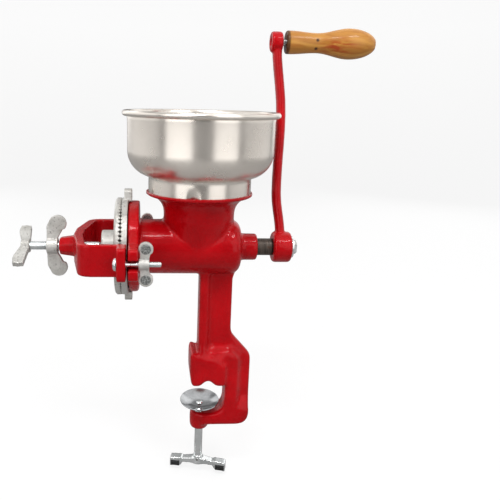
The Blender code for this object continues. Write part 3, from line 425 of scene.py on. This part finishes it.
def spun(profile, steps=96, closed=False):
    # Radius and height pairs turned once round the Z axis
    shape = bmesh.new()
    points = [shape.verts.new((radius, 0, height)) for radius, height in profile]
    if closed:
        points.append(points[0])
    edges = [shape.edges.new(pair) for pair in zip(points, points[1:])]
    bmesh.ops.spin(shape, geom=[*set(points), *edges], cent=(0, 0, 0), axis=(0, 0, 1), angle=tau,
                   steps=steps, use_merge=True)
    bmesh.ops.remove_doubles(shape, verts=shape.verts, dist=mergeWithin)
    return shape


def turnTo(shape, matrix):
    bmesh.ops.transform(shape, matrix=matrix, verts=shape.verts)
    return shape


alongX = Matrix.Rotation(pi / 2, 4, "Y")


# Red castings

castingSet = {"voxel": 0.0009, "fine": 6, "leg": 34, "legTop": 0.108, "neck": 14,
              "neckLeft": -0.048, "keep": 0.5}

# Each fillet runs from its foot to its crest, on surfaces at these depths from the leg's middle
# plane: x, z of both ends of the foot, then of both ends of the crest
filletSet = {"web": 0.0046, "rib": 0.0116, "rim": 0.0122, "jaw": 0.0166, "lines": (
    ("web", "rib", (0.0138, 0.122), (0.0138, 0.034), (0.0092, 0.122), (0.0092, 0.03)),
    ("web", "rim", (0.012, 0.0398), (0.034, 0.0398), (0.008, 0.0335), (0.0312, 0.0335)),
    ("web", "rim", (0.034, 0.0398), (0.0462, 0.0285), (0.0312, 0.0335), (0.0402, 0.0245)),
    ("web", "rim", (0.0462, 0.0285), (0.0462, -0.0285), (0.0402, 0.0245), (0.0402, -0.0285)),
    ("web", "rim", (0.0462, -0.0125), (0.0535, -0.0145), (0.0402, -0.028), (0.0535, -0.028)),
    ("rib", "jaw", (0.0022, 0.045), (0.0096, 0.045), (0.0022, 0.0255), (0.0096, 0.0255)),
    ("rim", "jaw", (0.0096, 0.0336), (0.0262, 0.0336), (0.0096, 0.0255), (0.0262, 0.0245)),
)}


def addFillets(shape, sizes):
    for foot, crest, *corners in sizes["lines"]:
        for side in (1, -1):
            points = []
            for index, (x, z) in enumerate(corners):
                depth = sizes[foot] if index < 2 else sizes[crest]
                points += [shape.verts.new((x, side * depth, z)), shape.verts.new((x, 0, z))]
            bmesh.ops.convex_hull(shape, input=points)


def makeCasting(sizes):
    # The leg and clamp are the softest, then the barrel and neck, and the ears stay crisp
    legTop, left = sizes["legTop"], sizes["neckLeft"]
    shape = cadCopy("mill_body")
    addFillets(shape, filletSet)
    shape = smoothed(skinned(shape, sizes["voxel"]), sizes["fine"])
    smoothed(shape, sizes["neck"], lambda spot: spot.x > left and spot.z > legTop)
    return smoothed(shape, sizes["leg"], lambda spot: spot.z < legTop)


casting = addPiece("millCasting", makeCasting(castingSet), "red_enamel", "frame", "mill_body",
                   crease=180)
lighten(casting, castingSet["keep"])

yokeSet = {"voxel": 0.0007, "rounds": 9, "keep": 0.6}
for name, node, body in (("bridgeYoke", "bridge", "frame"),
                         ("crankCasting", "crank_arm", "rotor")):
    shape = smoothed(skinned(cadCopy(node), yokeSet["voxel"]), yokeSet["rounds"])
    lighten(addPiece(name, shape, "red_enamel", body, node, crease=180), yokeSet["keep"])
print("red castings: 3")


# Grinding discs

discSet = {"voxel": 0.00045, "rounds": 2, "keep": 0.35}
lugSet = {"foot": 0.0455, "shorter": 0.72, "narrower": 0.25}
turnSet = {"face": 0.0002, "closer": 0.0004}


def makeFixedDisc(sizes):
    # The upper lug is a little shorter than in the frame and narrows to its end
    shape = cadCopy("stationary_disc")
    foot = shaftZ + sizes["foot"]
    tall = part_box("stationary_disc")[1].z - foot
    for vert in shape.verts:
        out = vert.co.z - foot
        if out > 0:
            vert.co.y *= 1 - sizes["narrower"] * out / tall
            vert.co.z = foot + out * sizes["shorter"]
    return shape


def makeTurningDisc(sizes):
    # The grinding face comes a little nearer to the fixed disc: no bright line shows between them
    shape = cadCopy("rotating_disc")
    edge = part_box("rotating_disc")[1].x - sizes["face"]
    for vert in shape.verts:
        if vert.co.x > edge:
            vert.co.x += sizes["closer"]
    return shape


for name, shape, body, node in (
    ("fixedDisc", makeFixedDisc(lugSet), "frame", "stationary_disc"),
    ("turningDisc", makeTurningDisc(turnSet), "rotor", "rotating_disc"),
):
    soften(addPiece(name, shape, "cast_grey", body, node), **discSet)
print("discs: 2")


# Shaft and auger

augerSet = {"voxel": 0.0007, "rounds": 3, "keep": 0.6}
auger = addPiece("augerShaft", cadCopy("auger_shaft"), "bare_iron", "rotor", "auger_shaft")
soften(auger, **augerSet)
print("shaft: 1")


# Cast wing nuts: the hub and wings of the frame, with fuller lobes

wingSet = {"voxel": 0.00045, "rounds": 4, "keep": 0.6}


def addWing(name, node, body, sizes):
    shape = cadCopy(node)
    low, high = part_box(node)
    middle = Vector((sizes["hubX"], (low.y + high.y) / 2, (low.z + high.z) / 2))
    lean, start, share = sizes["lobe"]
    for vert in shape.verts:
        away = vert.co - middle
        if away.yz.length > start:
            vert.co.x = middle.x + lean + (away.x - lean) * share
    # A wedge from the hub out to each lobe gives the wing its outline
    for side in (1, -1):
        points = []
        for x, half, thick, up in sizes["stations"]:
            for across, through in ((1, 1), (1, -1), (-1, 1), (-1, -1)):
                local = Vector((x + across * half, through * thick, side * up))
                local.rotate(Matrix.Rotation(sizes["turn"], 3, "X"))
                points.append(shape.verts.new(middle + local))
        bmesh.ops.convex_hull(shape, input=points)
    soften(addPiece(name, shape, "cast_grey", body, node), **wingSet)


# A lobe has its lean, where it starts and the share of its width that stays
# A station of a wedge has its x, half its width, half its thickness and how far out it is
lockSet = {"hubX": -0.1346, "turn": 0, "lobe": (0.0033, 0.0125, 1),
           "stations": ((-0.0014, 0.0036, 0.0026, 0.002), (0.0033, 0.0081, 0.0021, 0.0186),
                        (0.0018, 0.0024, 0.0017, 0.0268))}
adjustSet = {"hubX": -0.1589, "turn": radians(-63), "lobe": (-0.0034, 0.0125, 0.76),
             "stations": ((0, 0.0036, 0.003, 0.002), (-0.0032, 0.0052, 0.0029, 0.0165),
                          (-0.0032, 0.0047, 0.0026, 0.0258))}
nutSet = {"hubX": -0.0497, "turn": 0, "lobe": (0.0012, 0.008, 1),
          "stations": ((0, 0.0036, 0.0022, 0.002), (0.0012, 0.0048, 0.0019, 0.0125))}
addWing("lockNut", "lock_wing_nut", "lock_nut", lockSet)
addWing("adjustingWing", "adjusting_wing", "adjuster", adjustSet)
addWing("frontNut", "wing_nut_front", "front_nut", nutSet)
addWing("rearNut", "wing_nut_rear", "rear_nut", nutSet)

nutPadSet = {"x": -0.0482, "up": 0.0131, "radius": 0.0044, "thick": 0.0044, "edge": 0.0005,
             "sides": 28}


def makeNutPads(node, sizes):
    # A dark round pad through each lobe, a little proud of both faces
    shape = bmesh.new()
    low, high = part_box(node)
    radius = sizes["radius"]
    for side in (1, -1):
        centre = (sizes["x"], (low.y + high.y) / 2, shaftZ + side * sizes["up"])
        seat = Matrix.Translation(centre) @ Matrix.Rotation(pi / 2, 4, "X")
        bmesh.ops.create_cone(shape, cap_ends=True, segments=sizes["sides"], radius1=radius,
                              radius2=radius, depth=sizes["thick"], matrix=seat)
    bevelled(shape, [edge for edge in shape.edges if edge.calc_face_angle() > 1], sizes["edge"])
    return shape


nutPadFinish = makePad("nutPadFinish", nutPadLook)
for name, node, body in (("frontNutPads", "wing_nut_front", "front_nut"),
                         ("rearNutPads", "wing_nut_rear", "rear_nut")):
    addPiece(name, makeNutPads(node, nutPadSet), "cast_grey", body, finish=nutPadFinish)
print("wings: 4, with pads")


# Clamp wing: a hub that flares into an arched bar, with a dark pad on each face of its ends as a
# painted dark reflection
# A station of the bar has its place, half its width, its underside and its top

teeSet = {
    "x": 0.0055, "turn": radians(-13), "hubLow": -0.0922, "hubHigh": -0.0835, "hubWide": 0.0066,
    "hubTop": 0.0046, "hubSides": 40, "voxel": 0.0005, "rounds": 7,
    "stations": ((0.0, 0.0052, -0.093, -0.0858), (0.008, 0.0038, -0.0928, -0.0872),
                 (0.0155, 0.0034, -0.0934, -0.0884), (0.0175, 0.0042, -0.0966, -0.0878),
                 (0.0286, 0.0044, -0.0984, -0.0888)),
    "padAt": (0.0231, 0.0042, -0.0943), "padSize": (0.0093, 0.0016, 0.0056), "padEdge": 0.0006,
}
teePlace = Matrix.Translation((teeSet["x"], 0, 0)) @ Matrix.Rotation(teeSet["turn"], 4, "Z")


def makeTee(sizes):
    shape = bmesh.new()
    tall = sizes["hubHigh"] - sizes["hubLow"]
    seat = Matrix.Translation((0, 0, sizes["hubLow"] + tall / 2))
    bmesh.ops.create_cone(shape, cap_ends=True, segments=sizes["hubSides"],
                          radius1=sizes["hubWide"], radius2=sizes["hubTop"], depth=tall,
                          matrix=seat)
    mirrored = [(-x, *rest) for x, *rest in reversed(sizes["stations"][1:])]
    rings = []
    for x, half, low, high in (*mirrored, *sizes["stations"]):
        corners = ((x, -half, low), (x, half, low), (x, half, high), (x, -half, high))
        rings.append([shape.verts.new(corner) for corner in corners])
    for first, second in zip(rings, rings[1:]):
        for index in range(4):
            after = (index + 1) % 4
            shape.faces.new((first[index], first[after], second[after], second[index]))
    shape.faces.new(rings[0])
    shape.faces.new(rings[-1])
    bmesh.ops.recalc_face_normals(shape, faces=shape.faces)
    return turnTo(shape, teePlace)


# Near-black pads on the faces of the bar's ends: a painted dark reflection
def makeTeeReflectionPads(sizes):
    shape = bmesh.new()
    x, out, z = sizes["padAt"]
    for side in (1, -1):
        for face in (1, -1):
            seat = Matrix.Translation((side * x, face * out, z))
            seat = seat @ Matrix.Diagonal((*sizes["padSize"], 1))
            bmesh.ops.create_cube(shape, size=1, matrix=seat)
    bevelled(shape, shape.edges, sizes["padEdge"])
    return turnTo(shape, teePlace)


tee = addPiece("clampWing", makeTee(teeSet), "zinc_plate", "clamp", "clamp_wing")
soften(tee, teeSet["voxel"], teeSet["rounds"])
addPiece("clampWingReflectionPads", makeTeeReflectionPads(teeSet), "bare_iron", "clamp",
         finish=makePad("paintedReflectionPadFinish", reflectionPadLook))
print("clamp wing: 2")


# Spun hopper with a rolled rim and a pressed dent in the collar

hopperSet = {
    "rim": 0.0704, "bead": 0.0026, "beadArc": (165, -150), "underBead": 0.0034, "flare": 0.0004,
    "wall": 0.0658, "wallFrom": 0.0052, "corner": 0.023, "cornerTurn": -80, "arcSteps": 14,
    "shoulder": 0.066, "collar": 0.0467, "collarSteps": 9, "sheet": 0.001, "steps": 192,
    "outerBend": ((0.0006, 0.0006), (0.0001, -0.0005), (0, -0.002)),
    "innerBend": ((0, -0.001), (0.0006, 0.0012)),
    "dentTurn": -100.3, "dentHalf": 9, "dentDepth": 0.0022, "dentTop": 0.0105,
}


def makeHopper(sizes):
    low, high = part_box("hopper")
    bead, corner, sheet = sizes["bead"], sizes["corner"], sizes["sheet"]
    wall, collar, steps = sizes["wall"], sizes["collar"], sizes["arcSteps"]
    shoulder = shaftZ + sizes["shoulder"]
    beadZ = high.z - bead
    collarZ = shoulder + sizes["outerBend"][-1][1]
    centre = (wall - corner, shoulder + corner)
    down = [(low.z - collarZ) * step / sizes["collarSteps"]
            for step in range(1, sizes["collarSteps"] + 1)]
    profile = [
        *arc((sizes["rim"] - bead, beadZ), bead, *sizes["beadArc"], steps),
        (wall + sizes["flare"], beadZ - sizes["underBead"]),
        (wall, beadZ - sizes["wallFrom"]),
        *arc(centre, corner, 0, sizes["cornerTurn"], steps),
        *[(collar + out, shoulder + up) for out, up in sizes["outerBend"]],
        *[(collar, collarZ + drop) for drop in down],
        (collar - sheet, low.z),
        *[(collar - sheet + out, shoulder + up) for out, up in sizes["innerBend"]],
        *arc(centre, corner - sheet, sizes["cornerTurn"], 0, steps),
        (wall - sheet, beadZ - sizes["underBead"]),
    ]
    shape = spun(profile, sizes["steps"], closed=True)
    # The dent is a V with its tip up, deepest at the collar's lower edge
    for vert in shape.verts:
        up = (vert.co.z - low.z) / sizes["dentTop"]
        turn = Vector((vert.co.x, vert.co.y)).angle_signed(Vector((1, 0)), 0) * 180 / pi
        aside = abs(turn - sizes["dentTurn"]) / sizes["dentHalf"]
        if up < 1 and aside < 1:
            push = sizes["dentDepth"] * (1 - up) * (1 + cos(pi * aside)) / 2
            vert.co.xy *= 1 - push / collar
    return shape


addPiece("hopperSheet", makeHopper(hopperSet), "spun_aluminium", "hopper_bowl", "hopper", crease=50)
print("hopper: 1")


# Turned grip

gripSet = {
    "x": 0.0794, "length": 0.0833, "end": 0.0104, "endRound": 0.0016, "endArc": (-70, 0, 4),
    "taperFrom": 0.004, "neck": 0.0089, "neckAt": 0.029, "bulb": 0.0138, "nose": 0.0236,
    "noseTurn": radians(66), "headHole": 0.0054, "pinHole": 0.0036, "recess": 0.0056,
    "recessEdge": 0.0002, "curveSteps": 12, "steps": 72,
}


def makeGrip(sizes):
    low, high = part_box("handle_grip")
    centre = (low + high) / 2
    length, steps = sizes["length"], sizes["curveSteps"]
    noseAt, floorAt = length - sizes["nose"], length - sizes["recess"]
    face = sizes["end"] - sizes["endRound"]
    profile = [(sizes["pinHole"], 0), (face, 0)]
    profile += arc((face, sizes["endRound"]), sizes["endRound"], *sizes["endArc"])
    for start, end, first, last in (
        (sizes["taperFrom"], sizes["neckAt"], sizes["end"], sizes["neck"]),
        (sizes["neckAt"], noseAt, sizes["neck"], sizes["bulb"]),
    ):
        for step in range(steps):
            share = step / steps
            ease = (1 - cos(pi * share)) / 2
            profile.append((first + (last - first) * ease, start + (end - start) * share))
    for step in range(steps + 1):
        angle = sizes["noseTurn"] * step / steps
        out = sizes["nose"] * sin(angle) / sin(sizes["noseTurn"])
        profile.append((sizes["bulb"] * cos(angle), noseAt + out))
    profile += [(sizes["headHole"], length - sizes["recessEdge"]), (sizes["headHole"], floorAt),
                (sizes["pinHole"], floorAt)]
    seat = Matrix.Translation((sizes["x"], centre.y, centre.z)) @ alongX
    return turnTo(spun(profile, sizes["steps"], closed=True), seat)


addPiece("turnedGrip", makeGrip(gripSet), "varnished_pine", "grip", "handle_grip", crease=50)
print("grip: 1")


# Threaded screws and bolts

threadSet = {"depth": 0.5, "core": 0.49, "crest": (0.4, 0.6), "lead": 0.5, "steps": 20, "sides": 40}


def threaded(shape, low, high, radius, pitch):
    # A V thread wound up the Z axis over a plain core
    root = radius - pitch * threadSet["depth"]
    steps = threadSet["steps"]
    turns = int((high - low) / pitch) - 1
    start, end = threadSet["crest"]
    points = [shape.verts.new((across, 0, low + pitch * (threadSet["lead"] + up)))
              for across, up in ((root, 0), (radius, start), (radius, end), (root, 1))]
    edges = [shape.edges.new(pair) for pair in zip(points, points[1:])]
    bmesh.ops.spin(shape, geom=points + edges, cent=(0, 0, 0), axis=(0, 0, 1),
                   dvec=(0, 0, pitch / steps), angle=tau * turns, steps=steps * turns)


def coreOf(sizes):
    return sizes["radius"] - sizes["pitch"] * threadSet["core"]


adjustScrewSet = {"radius": 0.004, "pitch": 0.00125, "threadFrom": 0.004, "chamfer": 0.0008,
                  "cupRadius": 0.0018, "cupDepth": 0.001}


def makeAdjustingScrew(sizes):
    low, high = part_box("adjusting_screw")
    length = high.x - low.x
    core, chamfer = coreOf(sizes), sizes["chamfer"]
    shape = spun([(0, 0), (core, 0), (core, length - chamfer), (core - chamfer, length),
                  (sizes["cupRadius"], length), (0, length - sizes["cupDepth"])],
                 threadSet["sides"])
    threaded(shape, sizes["threadFrom"], length, sizes["radius"], sizes["pitch"])
    return turnTo(shape, Matrix.Translation((low.x, 0, shaftZ)) @ alongX)


# The dome's pairs are a share of the head's radius and a height
boltSet = {"radius": 0.0025, "pitch": 0.0008, "head": 0.0058, "shank": 0.014, "runOut": 0.0146,
           "threadFrom": 0.0142, "chamfer": 0.0006,
           "dome": ((0, 0), (0.5, 0.0003), (0.8, 0.001), (0.96, 0.0021), (1, 0.003), (0.98, 0.0036))}


def makeBolt(node, sizes):
    low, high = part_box(node)
    centre = (low + high) / 2
    length = high.x - low.x
    radius, core, chamfer = sizes["radius"], coreOf(sizes), sizes["chamfer"]
    dome = [(sizes["head"] * share, height) for share, height in sizes["dome"]]
    shape = spun([*dome, (radius, dome[-1][1]), (radius, sizes["shank"]), (core, sizes["runOut"]),
                  (core, length - chamfer), (core - chamfer, length), (0, length)],
                 threadSet["sides"])
    threaded(shape, sizes["threadFrom"], length, radius, sizes["pitch"])
    return turnTo(shape, Matrix.Translation((low.x, centre.y, centre.z)) @ alongX)


# The peened tip's pairs are a radius and a depth below the end
clampScrewSet = {"radius": 0.004, "pitch": 0.00125, "chamfer": 0.0004, "plainTo": 0.0405,
                 "runOut": 0.0411, "threadFrom": 0.0407, "plateGap": 0.0003, "neck": 0.0022,
                 "peen": ((0.0022, 0.0017), (0.0034, 0.0017), (0.0026, 0.0004), (0.001, 0), (0, 0))}


def makeClampScrew(sizes):
    low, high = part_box("clamp_screw")
    centre = (low + high) / 2
    length = high.z - low.z
    radius, core, chamfer = sizes["radius"], coreOf(sizes), sizes["chamfer"]
    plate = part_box("clamp_plate")[0].z - low.z - sizes["plateGap"]
    tip = [(across, length - down) for across, down in sizes["peen"]]
    shape = spun([(0, 0), (radius - chamfer, 0), (radius, chamfer), (radius, sizes["plainTo"]),
                  (core, sizes["runOut"]), (core, plate), (sizes["neck"], plate), *tip],
                 threadSet["sides"])
    threaded(shape, sizes["threadFrom"], plate, radius, sizes["pitch"])
    return turnTo(shape, Matrix.Translation((centre.x, centre.y, low.z)))


addPiece("adjustingScrew", makeAdjustingScrew(adjustScrewSet), "zinc_plate", "adjuster",
         "adjusting_screw")
for name, node in (("boltFront", "bridge_bolt_front"), ("boltRear", "bridge_bolt_rear")):
    addPiece(name, makeBolt(node, boltSet), "zinc_plate", "frame", node)
addPiece("clampScrew", makeClampScrew(clampScrewSet), "zinc_plate", "clamp", "clamp_screw")
print("screws: 4")


# Dished swivel plate

plateSet = {"radius": 0.019, "hole": 0.0026, "dish": 0.0042, "thick": 0.0015, "edgeIn": 0.0003,
            "edgeArc": (-60, 60, 5), "tilt": radians(5), "rings": 14, "steps": 96}


def makePlate(sizes):
    low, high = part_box("clamp_plate")
    centre = (low + high) / 2
    radius, hole, dish, thick = (sizes[key] for key in ("radius", "hole", "dish", "thick"))
    shares = [ring / sizes["rings"] for ring in range(sizes["rings"] + 1)]
    under = [(hole + (radius - hole) * share, dish * share ** 2) for share in shares]
    edge = arc((radius - sizes["edgeIn"], dish + thick / 2), thick / 2, *sizes["edgeArc"])
    above = [(across, height + thick) for across, height in reversed(under)]
    shape = spun(under[:-1] + edge + above[1:], sizes["steps"], closed=True)
    seat = Matrix.Translation((centre.x, centre.y, low.z))
    return turnTo(shape, seat @ Matrix.Rotation(sizes["tilt"], 4, "X"))


# The plate's darker zinc finish is painted shade
addPiece("swivelPlate", makePlate(plateSet), "zinc_plate", "plate", "clamp_plate", crease=55,
         finish=makePlated("shadedSwivelPlateFinish", shadedPlateLook, 3))

crankFixing = {"width": 0.0004, "segments": 3, "limit": radians(32)}
for name, node in (("crankWasher", "crank_washer"), ("crankScrew", "crank_bolt")):
    shape = cadCopy(node)
    bmesh.ops.dissolve_limit(shape, angle_limit=radians(1), verts=shape.verts, edges=shape.edges)
    easeEdges(addPiece(name, shape, "zinc_plate", "rotor", node), **crankFixing)
print("plate and crank fixing: 3")


# Floor, light and camera

stageSet = {
    "floorZ": -0.102, "radius": 2.6, "bend": 0.9, "bendSteps": 16, "wallTop": 1.3, "steps": 64,
    "pale": (0.18, 0.18, 0.18, 1), "thrown": (0.3, 0.3, 0.3, 1), "glow": (0.79, 0.86),
    "glowTop": 0.6, "rough": 0.8, "specular": 0.1,
}


def makeFloor(sizes):
    # A round floor that curves up into a low wall: near white in plain view, grey in what it throws
    bend, floorZ = sizes["bend"], sizes["floorZ"]
    line = [(0, 0), *arc((sizes["radius"] - bend, bend), bend, -90, 0, sizes["bendSteps"]),
            (sizes["radius"], sizes["wallTop"])]
    shape = turnTo(spun(line, sizes["steps"]), Matrix.Translation((0, 0, floorZ)))
    finish, tree, shader = newFinish("floorPaper")
    seen = tree.nodes.new("ShaderNodeLightPath").outputs["Is Camera Ray"]
    height = addNode(tree, "ShaderNodeSeparateXYZ", {"Vector": place(tree)}).outputs["Z"]
    glow = scaled(tree, height, floorZ, sizes["glowTop"], *sizes["glow"])
    dress(tree, shader, Base_Color=mixed(tree, seen, sizes["thrown"], sizes["pale"]),
          Roughness=sizes["rough"], Specular_IOR_Level=sizes["specular"],
          Emission_Color=(1, 1, 1, 1), Emission_Strength=combined(tree, "MULTIPLY", seen, glow))
    mesh = bpy.data.meshes.new("studioFloor")
    shape.to_mesh(mesh)
    shape.free()
    mesh.materials.append(finish)
    mesh.shade_smooth()
    floor = bpy.data.objects.new("studioFloor", mesh)
    bpy.context.scene.collection.objects.link(floor)


makeFloor(stageSet)

# Each light stands round the target by its turn and lift in degrees, and faces it
target = Vector((0, 0, 0.12))
lightSet = {
    "leftPanel": {"turn": -37, "lift": 16, "away": 1.5, "size": (1.15, 1.4), "power": 8.2},
    "rightPanel": {"turn": 34, "lift": 16, "away": 1.5, "size": (1.05, 1.4), "power": 6.6},
    "leftSpark": {"turn": -22, "lift": 58, "away": 1.2, "size": (0.5, 0.16), "power": 5.2},
    "rightSpark": {"turn": 40, "lift": 55, "away": 1.2, "size": (0.4, 0.14), "power": 3.2},
    "leftFill": {"turn": -104, "lift": 18, "away": 1.7, "size": (2.6, 1.6), "power": 11.0},
    "rightFill": {"turn": 96, "lift": 18, "away": 1.7, "size": (2.4, 1.6), "power": 9.0},
    "leftBack": {"turn": -150, "lift": 20, "away": 1.7, "size": (0.8, 1.4), "power": 3.2},
    "rightBack": {"turn": 148, "lift": 20, "away": 1.7, "size": (0.8, 1.4), "power": 3.2},
    "topPanel": {"turn": 150, "lift": 78, "away": 1.6, "size": (2.0, 2.0), "power": 7.0},
}
for name, sizes in lightSet.items():
    lamp = bpy.data.lights.new(name, "AREA")
    lamp.shape = "RECTANGLE"
    lamp.size, lamp.size_y = sizes["size"]
    lamp.energy = sizes["power"]
    turn, lift = radians(sizes["turn"]), radians(sizes["lift"])
    back = Vector((sin(turn) * cos(lift), -cos(turn) * cos(lift), sin(lift)))
    holder = bpy.data.objects.new(name, lamp)
    holder.location = target + back * sizes["away"]
    holder.visible_camera = False
    holder.rotation_euler = (-back).to_track_quat("-Z", "Y").to_euler()
    bpy.context.scene.collection.objects.link(holder)

worldSet = {"Color": (1, 1, 1, 1), "Strength": 0.42}
world = bpy.data.worlds.new("studioWorld")
world.use_nodes = True
for key, value in worldSet.items():
    world.node_tree.nodes["Background"].inputs[key].default_value = value
bpy.context.scene.world = world

viewSet = {"eye": (-0.04383, -0.53229, 0.27283), "yaw": 3.9, "pitch": 14.2, "roll": 1.3,
           "lens": 42.264, "shift": (0.12, -0.0092)}


def makeCamera(sizes):
    yaw, pitch, roll = (radians(sizes[key]) for key in ("yaw", "pitch", "roll"))
    ahead = Vector((sin(yaw) * cos(pitch), cos(yaw) * cos(pitch), -sin(pitch)))
    level = Vector((cos(yaw), -sin(yaw), 0))
    upward = level.cross(ahead)
    right = level * cos(roll) + upward * sin(roll)
    up = upward * cos(roll) - level * sin(roll)
    data = bpy.data.cameras.new("photoView")
    data.lens = sizes["lens"]
    data.shift_x, data.shift_y = sizes["shift"]
    camera = bpy.data.objects.new("photoView", data)
    turn = Matrix((right, up, -ahead)).transposed().to_4x4()
    camera.matrix_world = Matrix.Translation(sizes["eye"]) @ turn
    bpy.context.scene.collection.objects.link(camera)
    bpy.context.scene.camera = camera


makeCamera(viewSet)
bpy.context.scene.view_settings.view_transform = "Standard"
print("stage: floor,", len(lightSet), "lights, camera")
